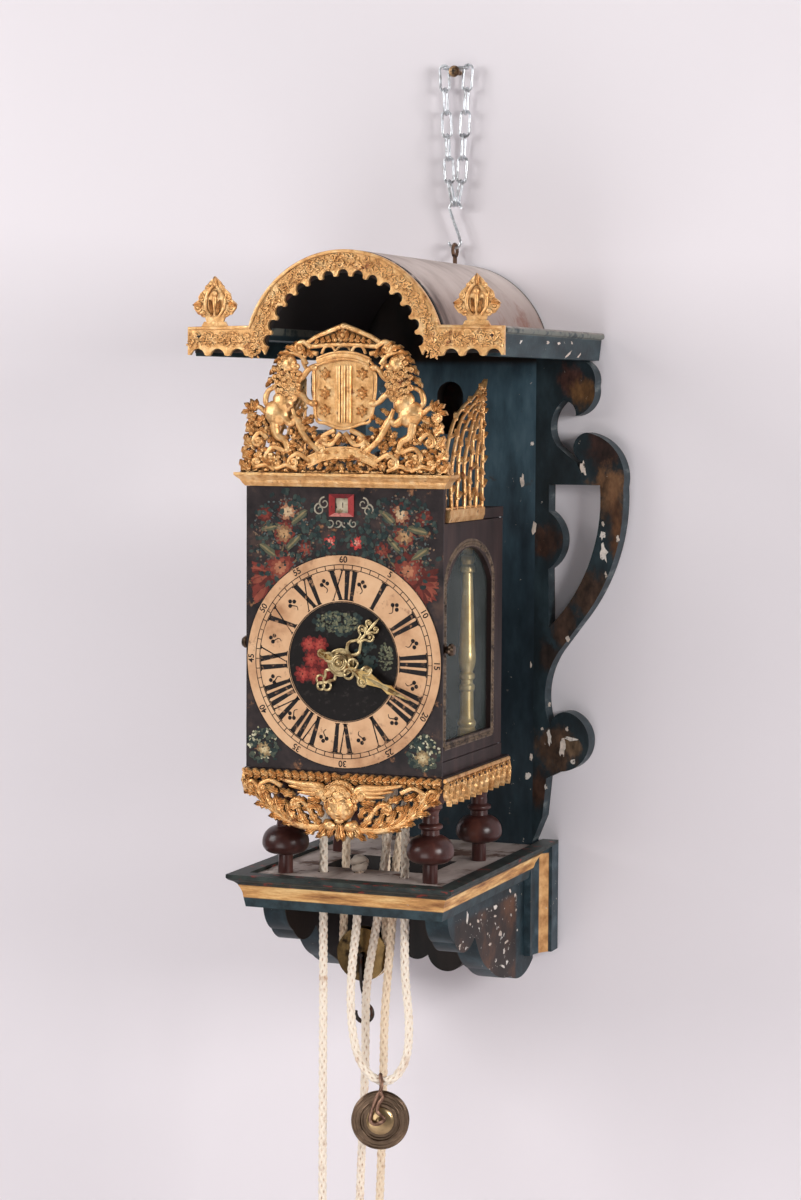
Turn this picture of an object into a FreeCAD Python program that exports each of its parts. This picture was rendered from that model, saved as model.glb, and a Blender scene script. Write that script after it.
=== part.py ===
"""Bracket wall clock: a weight-driven clock case with turned feet on a painted wall bracket with a hood.

Frame: X to the viewer's right, Y into the wall, Z up. The wall is the plane Y = 0 and the origin is the
wall screw that carries the whole clock on its chain. All sizes are in millimetres.
"""
import FreeCAD, Part
import math
import os
import Sketcher
from FreeCAD import Placement, Rotation, Vector

doc = FreeCAD.newDocument("bracket_wall_clock")
sheet = doc.addObject("Spreadsheet::Sheet", "Sizes")

# Driving dimensions. Heights are measured from the wall screw, depths as distance out from the wall.
SIZES = {
    # wall screw, chain and hook
    "screw_radius": 2.5, "screw_in_wall": 30, "screw_out": 17, "screw_head": 6,
    "chain_wire": 2.8, "link_inside": 24.2, "link_width": 12.6, "chain_out": 10,
    "hook_wire": 3.2, "eye_height": -185, "eye_ring": 6.4, "eye_wire": 3.6,
    # bracket boards
    "board_half": 95, "board_thick": 22, "board_foot": -905, "board_pendant": 43,
    "keyhole_top": -322, "keyhole_bottom": -378, "keyhole_half": 14.5,
    "wing_span": 95, "wing_top": -300, "wing_foot": -802.5,
    # console
    "shelf_top": -806, "shelf_thick": 14, "shelf_half": 100, "shelf_front": 308,
    "console_top": -802.5, "console_half": 117, "console_front": 327, "console_drop": 33,
    "cheek_outer": 97, "cheek_thick": 24, "cheek_front": 283, "cheek_drop": 116,
    "return_foot": -918,
    # hood
    "hood_half": 162, "hood_front": 311, "eave_top": -272, "eave_drop": 28, "eave_board": 12,
    "vault_centre": -302, "vault_radius": 102.5, "vault_sheet": 4,
    "front_board": 3, "trim_sheet": 4, "trim_inner": 77, "finial_at": 134, "finial_wide": 48,
    "finial_tall": 49,
    # clock case
    "dial_half": 101.5, "dial_top": -424.8, "dial_foot": -697.6, "dial_front": 313, "dial_sheet": 2,
    "case_half": 98, "case_rear": 132, "case_top": -447, "case_lid": 10, "rail_top": -411.5,
    "base_top": -685, "plinth_top": -698, "plinth_foot": -711, "plinth_half": 103, "plinth_rear": 122,
    "fret_tall": 142, "fret_half": 107, "fret_sheet": 4, "side_fret_front": 298, "side_fret_rear": 182,
    "side_fret_tall": 126, "apron_drop": 53, "side_apron_drop": 23,
    "foot_x": 76, "foot_front": 275, "foot_rear": 135,
    # doors
    "door_outer": 98.5, "door_thick": 5, "door_front": 309.5, "door_rear": 135, "door_top": -458,
    "door_foot": -684,
    "hinge_x": 96, "hinge_y": 137.5, "hinge_radius": 1.5, "glass_thick": 1.8,
    # movement
    "axis_height": -591.5, "arbor_radius": 2.5, "running_gap": 0.06,
    "bar_half": 11, "bar_thick": 6, "front_bar": 295, "middle_bar": 227, "rear_bar": 165,
    "pillar_x": 72, "pillar_front": 290, "pillar_rear": 163,
    "going_rope_y": 257, "strike_rope_y": 190, "going_rope_radius": 43, "strike_rope_radius": 40,
    "rope_thick": 8.4, "verge_height": -480, "pendulum_length": 242, "pendulum_y": 115,
    "bell_y": 222, "bell_radius": 38, "bell_mouth": -433,
    "date_x": -2.3, "date_height": -484, "date_radius": 50,
    "hammer_x": 58, "hammer_y": 190,
    # weight pulleys
    "strike_pulley_x": -26.5, "strike_pulley_z": -899, "strike_pulley_radius": 27,
    "going_pulley_x": 18.5, "going_pulley_z": -1049, "going_pulley_radius": 28.5, "going_pulley_turn": 18,
}


class Size:
    """A length that carries both its value and the sheet formula that it comes from."""

    def __init__(self, value, formula):
        self.value = value
        self.formula = formula

    def __add__(self, other):
        other = as_size(other)
        return Size(self.value + other.value, "(%s + %s)" % (self.formula, other.formula))

    def __sub__(self, other):
        other = as_size(other)
        return Size(self.value - other.value, "(%s - %s)" % (self.formula, other.formula))

    def __mul__(self, factor):
        factor = as_size(factor)
        return Size(self.value * factor.value, "(%s * %s)" % (self.formula, factor.formula))

    def __truediv__(self, factor):
        factor = as_size(factor)
        return Size(self.value / factor.value, "(%s / %s)" % (self.formula, factor.formula))

    def __neg__(self):
        return Size(-self.value, "(0 - %s)" % self.formula)

    def __radd__(self, other):
        return as_size(other) + self

    def __rsub__(self, other):
        return as_size(other) - self

    def __rmul__(self, other):
        return as_size(other) * self


def as_size(quantity):
    """A plain number becomes a Size with itself as formula."""
    if isinstance(quantity, Size):
        return quantity
    return Size(float(quantity), "(%.6f)" % quantity)


class Sheet:
    """Names of the driving dimensions, each a Size bound to its cell."""


def fill_sheet():
    named = Sheet()
    for row, (name, value) in enumerate(SIZES.items(), start=1):
        cell = "B%d" % row
        sheet.set("A%d" % row, name)
        sheet.set(cell, str(value))
        sheet.setAlias(cell, name)
        setattr(named, name, Size(float(value), "Sizes." + name))
    doc.recompute()
    return named


d = fill_sheet()
nodes = {}


def keep(label, item):
    """Register an object as one sub-part of the clock."""
    item.Label = label
    nodes[label] = item
    return item


def place(item, x=0, y=0, z=0, rotation=None):
    """Put an object at sheet-bound coordinates, with an optional fixed rotation."""
    spot = [as_size(v) for v in (x, y, z)]
    turn = rotation if rotation is not None else Rotation()
    item.Placement = Placement(Vector(*[v.value for v in spot]), turn)
    for axis, value in zip("xyz", spot):
        item.setExpression("Placement.Base." + axis, value.formula)
    return item


def block(name, x, y, z):
    """Rectangular board between two limits on each axis."""
    box = doc.addObject("Part::Box", name)
    low = [as_size(pair[0]) for pair in (x, y, z)]
    high = [as_size(pair[1]) for pair in (x, y, z)]
    for edge, start, end in zip(("Length", "Width", "Height"), low, high):
        span = end - start
        setattr(box, edge, span.value)
        box.setExpression(edge, span.formula)
    return place(box, *low)


def rod(name, radius, start, end, x=0, y=0, z=0, along="z"):
    """Round bar between two limits on one axis, at x, y, z on the other two."""
    bar = doc.addObject("Part::Cylinder", name)
    start, end, radius = as_size(start), as_size(end), as_size(radius)
    span = end - start
    bar.Radius = radius.value
    bar.Height = span.value
    bar.setExpression("Radius", radius.formula)
    bar.setExpression("Height", span.formula)
    turns = {"z": Rotation(), "x": Rotation(Vector(0, 1, 0), 90), "y": Rotation(Vector(1, 0, 0), -90)}
    spot = {"x": x, "y": y, "z": z}
    spot[along] = start
    return place(bar, spot["x"], spot["y"], spot["z"], turns[along])


def cut(name, base, *tools):
    """Base with every tool taken away."""
    result = base
    for number, tool in enumerate(tools):
        step = doc.addObject("Part::Cut", "%s_cut%d" % (name, number))
        step.Base = result
        step.Tool = tool
        result = step
    return result


def fuse(name, *shapes):
    """One solid from overlapping or touching shapes."""
    joined = doc.addObject("Part::MultiFuse", name)
    joined.Shapes = list(shapes)
    return joined


def group(name, *shapes):
    """Separate solids that count as one sub-part."""
    bundle = doc.addObject("Part::Compound", name)
    bundle.Links = list(shapes)
    return bundle


def mirrored(name, source):
    """Left-hand twin of a right-hand piece."""
    twin = doc.addObject("Part::Mirroring", name)
    twin.Source = source
    twin.Base = Vector(0, 0, 0)
    twin.Normal = Vector(1, 0, 0)
    return twin


def bind_point(ties, geometry, position, x, y):
    """Tie a sketch point's two coordinates to their sheet formulas."""
    for kind, value in (("DistanceX", x), ("DistanceY", y)):
        ties.append((Sketcher.Constraint(kind, -1, 1, geometry, position, value.value), value.formula))


def draw_outline(sketch, ties, steps):
    """Closed outline. (x, y) draws a line to that point, (xm, ym, x, y) an arc through the middle point."""
    steps = [tuple(as_size(v) for v in step) for step in steps]
    ends = [step[-2:] for step in steps]
    corner = [Vector(x.value, y.value, 0) for x, y in ends]
    drawn = []
    for number, step in enumerate(steps):
        start, end = corner[number - 1], corner[number]
        if len(step) == 2:
            index = sketch.addGeometry(Part.LineSegment(start, end), False)
            first = 1
        else:
            middle = Vector(step[0].value, step[1].value, 0)
            index = sketch.addGeometry(Part.Arc(start, middle, end), False)
            first = 1 if sketch.getPoint(index, 1).distanceToPoint(start) < 1e-6 else 2
            mark = sketch.addGeometry(Part.Point(middle), True)
            bind_point(ties, mark, 1, step[0], step[1])
            ties.append((Sketcher.Constraint("PointOnObject", mark, 1, index), None))
        drawn.append((index, first))
    for number, (index, first) in enumerate(drawn):
        before, before_first = drawn[number - 1]
        ties.append((Sketcher.Constraint("Coincident", before, 3 - before_first, index, first), None))
        bind_point(ties, index, 3 - first, *ends[number])


def draw_circle(sketch, ties, x, y, radius):
    x, y, radius = as_size(x), as_size(y), as_size(radius)
    centre = Vector(x.value, y.value, 0)
    index = sketch.addGeometry(Part.Circle(centre, Vector(0, 0, 1), radius.value), False)
    bind_point(ties, index, 3, x, y)
    ties.append((Sketcher.Constraint("Radius", index, radius.value), radius.formula))


def fasten(sketch, ties):
    """Put all constraints on a sketch at once, each with its formula."""
    places = sketch.addConstraint([tie for tie, formula in ties])
    for index, (tie, formula) in zip(places, ties):
        if formula:
            sketch.setExpression("Constraints[%d]" % index, formula)


def new_sketch(name, plane):
    body = doc.addObject("PartDesign::Body", name)
    sketch = body.newObject("Sketcher::SketchObject", name + "_sketch")
    support = [feature for feature in body.Origin.OriginFeatures if feature.Role == plane][0]
    sketch.AttachmentSupport = [(support, "")]
    sketch.MapMode = "FlatFace"
    return body, sketch


def extruded(name, plane, depth, outline, holes=(), circles=()):
    """Flat piece: an outline with holes, given thickness along the plane's normal."""
    body, sketch = new_sketch(name, plane)
    ties = []
    draw_outline(sketch, ties, outline)
    for hole in holes:
        draw_outline(sketch, ties, hole)
    for circle in circles:
        draw_circle(sketch, ties, *circle)
    fasten(sketch, ties)
    pad = body.newObject("PartDesign::Pad", name + "_pad")
    pad.Profile = sketch
    depth = as_size(depth)
    pad.Length = depth.value
    pad.setExpression("Length", depth.formula)
    return body


def facing(name, out, depth, outline, holes=(), circles=()):
    """Flat piece that faces the room: drawn in X and Z, its front face at the distance out from the wall."""
    body = extruded(name, "XZ_Plane", depth, outline, holes, circles)
    return place(body, 0, as_size(depth) - as_size(out), 0)


def sideways(name, inner, depth, outline, holes=(), circles=()):
    """Flat piece that faces sideways: drawn in Y and Z, its inner face at X = inner."""
    return place(extruded(name, "YZ_Plane", depth, outline, holes, circles), inner)


def turned(name, profile, x=0, y=0, z=0, rotation=None):
    """Lathe-turned piece: a profile of (radius, height) steps spun about its own axis."""
    body, sketch = new_sketch(name, "XZ_Plane")
    ties = []
    draw_outline(sketch, ties, profile)
    fasten(sketch, ties)
    spin = body.newObject("PartDesign::Revolution", name + "_spin")
    spin.Profile = sketch
    spin.ReferenceAxis = (sketch, ["V_Axis"])
    spin.Angle = 360
    return place(body, x, y, z, rotation)


def solid(name, shape, x=0, y=0, z=0, rotation=None):
    """Piece whose shape comes from a formula."""
    feature = doc.addObject("Part::Feature", name)
    feature.Shape = shape
    return place(feature, x, y, z, rotation)


TO_ROOM = Rotation(Vector(1, 0, 0), 90)


# Wires, tubes and ropes


def rounded_path(points, radii):
    """Straight runs joined by tangent arcs; one radius per inner point."""
    edges = []
    start = points[0]
    for number in range(1, len(points) - 1):
        corner = points[number]
        back = (points[number - 1] - corner).normalize()
        ahead = (points[number + 1] - corner).normalize()
        half = math.acos(max(-1.0, min(1.0, back.dot(ahead)))) / 2
        reach = radii[number - 1] / math.tan(half)
        bisector = (back + ahead).normalize()
        centre = corner + bisector * (radii[number - 1] / math.sin(half))
        first = corner + back * reach
        last = corner + ahead * reach
        middle = centre - bisector * radii[number - 1]
        if start.distanceToPoint(first) > 1e-4:
            edges.append(Part.LineSegment(start, first).toShape())
        edges.append(Part.Arc(first, middle, last).toShape())
        start = last
    edges.append(Part.LineSegment(start, points[-1]).toShape())
    return Part.Wire(edges)


def piped(wire, radius):
    """Round section carried along a wire."""
    start = wire.Edges[0]
    at = start.valueAt(start.FirstParameter)
    along = start.tangentAt(start.FirstParameter)
    section = Part.Wire([Part.makeCircle(radius, at, along)])
    maker = Part.BRepOffsetAPI.MakePipeShell(wire)
    maker.add(section)
    maker.build()
    maker.makeSolid()
    return maker.shape()


def free_radii(points):
    """Largest even bends: 0.45 of the shorter run over the tangent of half the turn."""
    radii = []
    for number in range(1, len(points) - 1):
        before = points[number] - points[number - 1]
        after = points[number + 1] - points[number]
        turn = before.getAngle(after)
        radii.append(0.45 * min(before.Length, after.Length) / math.tan(turn / 2))
    return radii


def report_rope(name, shape, wire, radius, bends):
    expected = math.pi * radius ** 2 * wire.Length
    print("%s: length %.0f mm, volume %.3f of section x length, bends %s"
          % (name, wire.Length, shape.Volume / expected, ["%.0f" % b for b in bends]))


# Toothed wheels


def toothed_face(teeth, pitch_radius, tip, root, share, phase=0.0):
    """Flat wheel outline with straight-flanked teeth; share is the tooth's part of the pitch."""
    step = 2 * math.pi / teeth
    points = []
    for number in range(teeth):
        middle = phase + number * step
        for radius, offset in ((pitch_radius - root, -0.5 * share), (pitch_radius + tip, -0.22 * share),
                               (pitch_radius + tip, 0.22 * share), (pitch_radius - root, 0.5 * share)):
            angle = middle + offset * step
            points.append(Vector(radius * math.cos(angle), radius * math.sin(angle), 0))
    points.append(points[0])
    return Part.Face(Part.makePolygon(points))


def crossing(inner, outer, arm_half, arms=4):
    """The open sectors between a wheel's arms."""
    ring = Part.makeCylinder(outer, 40, Vector(0, 0, -20)).cut(Part.makeCylinder(inner, 40,
                                                                                 Vector(0, 0, -20)))
    for number in range(arms):
        bar = Part.makeBox(2 * outer, 2 * arm_half, 40, Vector(0, -arm_half, -20))
        bar.rotate(Vector(0, 0, 0), Vector(0, 0, 1), 45 + number * 360.0 / arms)
        ring = ring.cut(bar)
    return ring


def wheel(teeth, pitch_radius, thick, at, phase=0.0, rim=None, hub=7.0, arm_half=2.2):
    """Toothed wheel between two heights on its own axis, with four arms where a rim width is given."""
    step = 2 * math.pi * pitch_radius / teeth
    blank = toothed_face(teeth, pitch_radius, 0.26 * step, 0.36 * step, 0.46,
                         phase).extrude(Vector(0, 0, thick))
    if rim:
        blank = blank.cut(crossing(hub, pitch_radius - rim, arm_half))
    blank.translate(Vector(0, 0, at))
    return blank


def disc(radius, low, high):
    return Part.makeCylinder(radius, high - low, Vector(0, 0, low))


def slotted_ring(outer, inner, low, high, slots, share):
    """Crown of upright teeth: a ring with evenly spaced slots across it."""
    ring = Part.makeCylinder(outer, high - low, Vector(0, 0, low))
    ring = ring.cut(Part.makeCylinder(inner, high - low, Vector(0, 0, low)))
    gap = (1 - share) * 2 * math.pi * outer / slots
    cutters = []
    for number in range(slots):
        slot = Part.makeBox(outer - inner + 2, gap, high - low, Vector(inner - 1, -gap / 2, low))
        slot.rotate(Vector(0, 0, 0), Vector(0, 0, 1), (number + 0.5) * 360.0 / slots)
        cutters.append(slot)
    return ring.cut(Part.makeCompound(cutters))


def one_solid(*shapes):
    """Overlapping shapes as one solid."""
    joined = shapes[0]
    for shape in shapes[1:]:
        joined = joined.fuse(shape)
    return joined.removeSplitter()


# Wall screw, chain, hook and eye


def make_wall_screw():
    stem = d.screw_radius - 0.3
    head = d.screw_out + 3
    profile = [(0, -d.screw_in_wall), (d.screw_radius, -d.screw_in_wall), (d.screw_radius, 2), (stem, 2),
               (stem, d.screw_out), (d.screw_head, d.screw_out), (d.screw_head - 1, head - 1), (0, head)]
    keep("wall_screw", turned("wall_screw", profile, rotation=TO_ROOM))


def chain_link():
    """One link, standing in the XZ plane about its own centre."""
    wire = d.chain_wire.value
    half = d.link_inside.value / 2 + wire / 2 - (d.link_width.value - wire) / 2
    bend = (d.link_width.value - wire) / 2
    top, foot = Vector(0, 0, half + bend), Vector(0, 0, -half - bend)
    right, left = Vector(bend, 0, half), Vector(-bend, 0, half)
    low_right, low_left = Vector(bend, 0, -half), Vector(-bend, 0, -half)
    path = Part.Wire([Part.LineSegment(low_right, right).toShape(), Part.Arc(right, top, left).toShape(),
                      Part.LineSegment(left, low_left).toShape(),
                      Part.Arc(low_left, foot, low_right).toShape()])
    return piped(path, wire / 2)


def make_chain():
    """A link lies across the screw and two strands hang from its ends down to the hook."""
    wire = d.chain_wire.value
    inside = d.link_inside.value
    slack = 0.4
    out = -d.chain_out.value
    lift = d.screw_radius.value + wire / 2
    saddle = chain_link()
    saddle.rotate(Vector(0, 0, 0), Vector(0, 1, 0), 90)
    saddle.rotate(Vector(0, 0, 0), Vector(1, 0, 0), 90)
    saddle.translate(Vector(0, out, lift))
    links = [saddle]
    count = 6
    pitch = inside - slack
    edge = (inside + wire) / 2
    near_end = d.link_width.value / 2 + 0.3
    start = lift + wire / 2 + slack / 2
    spots = [(edge + (near_end - edge) * number / (count - 1),
              start - pitch * number) for number in range(count)]
    spots.append((2.0, start - pitch * count))
    for side in (-1, 1):
        for number in range(count):
            (top_x, top_z), (foot_x, foot_z) = spots[number], spots[number + 1]
            link = chain_link()
            if number % 2 == 1:
                link.rotate(Vector(0, 0, 0), Vector(0, 0, 1), 90)
            lean = side * math.degrees(math.atan2(top_x - foot_x, top_z - foot_z))
            link.rotate(Vector(0, 0, 0), Vector(0, 1, 0), lean)
            link.translate(Vector(side * (top_x + foot_x) / 2, out, (top_z + foot_z) / 2))
            links.append(link)
    keep("hanging_chain", solid("hanging_chain", Part.makeCompound(links)))
    return spots[-1][1]


def make_hook_and_eye(chain_foot):
    """S-hook between the chain's last links and the iron eye on the bracket's top edge."""
    out = -d.chain_out.value
    wire = d.hook_wire.value / 2
    bend = 2 * d.hook_wire.value
    high = chain_foot + 0.7 + wire - bend
    ring, ring_wire = d.eye_ring.value, d.eye_wire.value / 2
    low = d.eye_height.value + ring - ring_wire - 0.4 - wire + bend
    path = Part.Wire([
        Part.Arc(Vector(bend, out, high), Vector(0, out, high + bend), Vector(-bend, out, high)).toShape(),
        Part.LineSegment(Vector(-bend, out, high), Vector(bend, out, low)).toShape(),
        Part.Arc(Vector(bend, out, low), Vector(0, out, low - bend), Vector(-bend, out, low)).toShape()])
    keep("s_hook", solid("s_hook", piped(path, wire)))
    loop = doc.addObject("Part::Torus", "eye_loop")
    loop.setExpression("Radius1", d.eye_ring.formula)
    loop.setExpression("Radius2", (d.eye_wire / 2).formula)
    place(loop, 0, -d.chain_out, d.eye_height, Rotation(Vector(0, 1, 0), 90))
    tang = rod("eye_tang", 2.2, d.vault_centre + d.vault_radius - 32, d.eye_height - d.eye_ring, 0,
               -d.chain_out)
    keep("hanging_eye", fuse("hanging_eye", loop, tang))


def eye_hole(name, radius):
    """Drill for the hanging eye's tang."""
    foot = d.vault_centre + d.vault_radius - 32
    return rod(name, radius, foot, d.eye_height, 0, -d.chain_out)


# Bracket: backboard, wings and console


def make_backboard():
    crown = d.vault_centre + d.vault_radius - d.vault_sheet - 0.2
    half, foot = d.board_half, d.board_foot
    spring = d.eave_top - 0.5
    right_edge = [(62, foot + 24, 42, foot - 2), (30, foot - 32, 21, foot - 26),
                  (0, foot - d.board_pendant, -21, foot - 26)]
    left_edge = [(-30, foot - 32, -42, foot - 2), (-62, foot + 24, -half, foot)]
    outline = ([(-half, spring - 4), (-half + 2, spring), (0, crown, half - 2, spring), (half, spring - 4),
                (half, foot)] + right_edge + left_edge)
    r = d.keyhole_half
    top, low = d.keyhole_top, d.keyhole_bottom
    slot = [(r, top - r), (0, top, -r, top - r), (-r, low + r), (0, low, r, low + r)]
    board = facing("backboard_board", d.board_thick, d.board_thick, outline, [slot])
    keep("backboard", cut("backboard", board, eye_hole("board_drill", 2.2)))


def on_wing(x, z):
    """A point of the wing, measured on a wing 95 wide and 502.5 tall whose seam stands at X = 95."""
    across = d.board_half + d.wing_span * ((x - 95) / 95.0)
    return across, d.wing_top + (d.wing_top - d.wing_foot) * ((z + 300) / 502.5)


def wing_step(*numbers):
    """One outline step of the wing, a line end or an arc's middle and end."""
    step = ()
    for first in range(0, len(numbers), 2):
        step += on_wing(numbers[first], numbers[first + 1])
    return step


def make_wings():
    ledge = d.hood_half - 22
    upper = [(d.board_half, d.eave_top - d.eave_board), (ledge, d.eave_top - d.eave_board),
             (ledge, d.wing_top),
             wing_step(146, -300), wing_step(157, -312, 158, -326), wing_step(154, -346, 138, -357),
             wing_step(134, -345, 125, -341), wing_step(112, -362, 118, -388), wing_step(139, -405),
             wing_step(145, -418), wing_step(147.5, -405), wing_step(136, -390, 150, -374)]
    lower = [wing_step(178.5, -389, 190, -430), wing_step(182, -500, 152, -562), wing_step(122, -602),
             wing_step(108, -640, 114, -682), wing_step(120, -668, 137, -666),
             wing_step(154, -684, 126, -727),
             wing_step(110, -735), wing_step(106, -776), wing_step(97, -798), (d.board_half, d.wing_foot)]
    opening = [wing_step(110, -428), wing_step(165, -428), wing_step(158, -497, 111, -577),
               wing_step(110, -516),
               wing_step(126, -486, 110, -456)]
    right = facing("wing_right_board", d.board_thick, d.board_thick, upper + lower, [opening])
    keep("wing_right", right)
    keep("wing_left", mirrored("wing_left_board", right))


def stack(levels, rear):
    """Three-sided moulding: mitred rectangles (half width, front, height) joined from level to level."""
    sections = []
    for half, front, height in levels:
        corners = [Vector(-half, rear, height), Vector(-half, -front, height), Vector(half, -front, height),
                   Vector(half, rear, height), Vector(-half, rear, height)]
        sections.append(Part.makePolygon(corners))
    return Part.makeLoft(sections, True, True)


def console_levels():
    """Console moulding from top to foot: fillet, cyma, gilt cove and a small ogee."""
    top, half = d.console_top.value, d.console_half.value
    deep = d.console_front.value - half
    steps = [(half, top), (half, top - 3.5)]
    steps += [(half - 8.5 * math.sin(math.radians(a)) ** 2, top - 3.5 - 6.5 * a / 90.0) for a in (30, 55, 90)]
    steps += [(half - 8.5 - 4.5 * math.sin(math.radians(a)), top - 10 - 13.5 * a / 90.0) for a in (30, 60,
                                                                                                   90)]
    steps += [(half - 13 - 1.8 * share, top - 23.5 - 9.5 * share) for share in (0.3, 1.0)]
    return [(wide, wide + deep, height) for wide, height in steps]


def make_console():
    half, front = d.shelf_half, d.shelf_front
    foot = d.shelf_top - d.shelf_thick
    opening = [(-56, -228), (58, -228), (58, -150), (-56, -150)]
    holes = [(-d.going_rope_radius, -d.going_rope_y, 5.4), (d.going_rope_radius, -d.going_rope_y, 5.4),
             (-9, -247, 5.4)]
    shelf = extruded("console_shelf", "XY_Plane", d.shelf_thick,
                     [(-half, -front), (half, -front), (half, -d.board_thick), (-half, -d.board_thick)],
                     [opening], holes)
    keep("console_shelf", place(shelf, 0, 0, foot))
    ring = solid("moulding_block", stack(console_levels(), 0.0))
    low = d.console_top - d.console_drop
    inside = block("moulding_inside", (-half, half), (-front, 5), (low - 5, d.console_top + 5))
    keep("console_moulding", cut("moulding", ring, inside))
    section = [(d.board_half, 0), (d.board_half, -d.board_thick), (d.cheek_outer, -d.board_thick),
               (d.cheek_outer, -52), (104, -52), (106, -34, 113, -21), (d.console_half, -21),
               (d.console_half, 0)]
    strip = extruded("return_strip", "XY_Plane", d.console_top - d.return_foot, section)
    place(strip, 0, 0, d.return_foot)
    full = solid("moulding_outside", stack(console_levels(), 0.0))
    right = cut("return_right", strip, full)
    keep("console_returns", group("console_returns", right, mirrored("return_left", right)))


def on_cheek(y, z):
    """A point of the cheek, measured on one 283 deep and 116 tall."""
    top = d.shelf_top - d.shelf_thick
    return -d.cheek_front * (y / 283.0), top - d.cheek_drop * ((-820 - z) / 116.0)


def cheek_step(*numbers):
    step = ()
    for first in range(0, len(numbers), 2):
        step += on_cheek(numbers[first], numbers[first + 1])
    return step


def make_cheeks():
    top = d.shelf_top - d.shelf_thick
    outline = [(-d.board_thick, top), (-d.board_thick, top - 106), cheek_step(45, -936, 95, -931),
               cheek_step(130, -925, 158, -912), cheek_step(182, -898, 194, -885), cheek_step(204, -870),
               cheek_step(234, -880, 262, -866), cheek_step(278, -852, 283, -836), (-d.cheek_front, top)]
    right = sideways("cheek_right", d.cheek_outer - d.cheek_thick, d.cheek_thick, outline)
    keep("console_cheeks", group("console_cheeks", right, mirrored("cheek_left", right)))


# Hood


def make_hood():
    top, half = d.eave_top, d.hood_half
    foot = top - d.eave_drop
    profile = [(d.board_half, top), (half - 2, top), (half, top - 2.5, half - 1, top - 6),
               (half - 3, top - 6.5),
               (half - 5.5, foot), (half - 22, foot), (half - 22, top - d.eave_board),
               (d.board_half, top - d.eave_board)]
    right = facing("eave_right", d.hood_front, d.hood_front - 2, profile)
    keep("hood_eaves", group("hood_eaves", right, mirrored("eave_left", right)))
    crown = d.vault_centre + d.vault_radius
    outer, inner = 98.0, 93.8
    arch = [(outer, top), (0, crown, -outer, top), (-inner, top), (0, crown - d.vault_sheet, inner, top)]
    sheet_arch = facing("vault_sheet", d.hood_front, d.hood_front, arch)
    keep("hood_vault", cut("hood_vault", sheet_arch, eye_hole("vault_drill", 2.8)))
    wide = half - 6
    front = [(-wide, top - 1), (-outer + 1, top - 1), (0, crown - 1, outer - 1, top - 1), (wide, top - 1),
             (wide, foot + 3), (88, foot + 3), (80, foot + 10), (0, crown - 22, -80, foot + 10),
             (-88, foot + 3),
             (-wide, foot + 3)]
    keep("hood_front_board", facing("front_board", d.hood_front + d.front_board, d.front_board, front))


def scooped(count, spot):
    """Edges of a row of round scoops with a rounded tooth between two.

    spot(share, cut) is the point at a share of the row: cut 0 at a tooth's tip, 1 at a scoop's bottom.
    """
    soft, shoulder = 0.14, 0.15
    edges = []
    for number in range(count):
        start = spot((number + soft) / count, shoulder)
        end = spot((number + 1 - soft) / count, shoulder)
        edges.append(Part.Arc(start, spot((number + 0.5) / count, 1), end).toShape())
        if number < count - 1:
            after = spot((number + 1 + soft) / count, shoulder)
            edges.append(Part.Arc(end, spot((number + 1) / count, 0), after).toShape())
    return edges


def make_trim():
    """Gilt front trim: an arch and two straight wings, their lower edge cut in round scoops."""
    half, top = d.hood_half.value, d.eave_top.value
    foot = top - d.eave_drop.value
    centre, outer, tip = d.vault_centre.value, d.vault_radius.value, d.trim_inner.value
    depth, wing_scoops, arch_scoops = 7, 4, 15
    begin = math.asin((foot + depth - centre) / tip)
    spring = math.sqrt(outer ** 2 - (top - centre) ** 2)

    def on_left_wing(share, cut):
        return Vector(-half + share * (half - tip - 1), 0, foot + depth * cut)

    def on_right_wing(share, cut):
        return Vector(tip + 1 + share * (half - tip - 1), 0, foot + depth * cut)

    def on_arch(share, cut):
        angle = math.pi - begin - share * (math.pi - 2 * begin)
        radius = tip + depth * cut
        return Vector(radius * math.cos(angle), 0, centre + radius * math.sin(angle))

    right, left = Vector(spring, 0, top), Vector(-spring, 0, top)
    rows = [[Part.Arc(right, Vector(0, 0, centre + outer), left).toShape()],
            [Part.LineSegment(Vector(-half, 0, top), Vector(-half, 0, foot + 1)).toShape()],
            scooped(wing_scoops, on_left_wing), scooped(arch_scoops, on_arch),
            scooped(wing_scoops, on_right_wing),
            [Part.LineSegment(Vector(half, 0, foot + 1), Vector(half, 0, top)).toShape()]]
    edges = []
    for row, following in zip(rows, rows[1:] + rows[:1]):
        edges.extend(row)
        end, start = row[-1].valueAt(row[-1].LastParameter), following[0].valueAt(following[0].FirstParameter)
        edges.append(Part.LineSegment(end, start).toShape())
    face = Part.Face(Part.Wire(edges))
    trim = face.extrude(Vector(0, -d.trim_sheet.value, 0))
    keep("hood_trim", solid("hood_trim", trim, 0, -(d.hood_front + d.front_board), 0))


def make_finials():
    wide, tall = d.finial_wide / 48, d.finial_tall / 49

    def at(x, z):
        return d.finial_at + wide * x, d.eave_top + tall * z

    right_half = [(9, 0), (9, 4), (6, 8), (14, 13), (24, 22), (17, 31), (9, 37), (5, 41)]
    outline = [at(x, z) for x, z in right_half] + [at(0, 49) + at(-5, 41)]
    outline += [at(-x, z) for x, z in reversed(right_half[:-1])]
    right = facing("finial_right", d.hood_front + d.front_board + 3, 3, outline)
    keep("hood_finials", group("hood_finials", right, mirrored("finial_left", right)))


# Clock case


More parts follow.
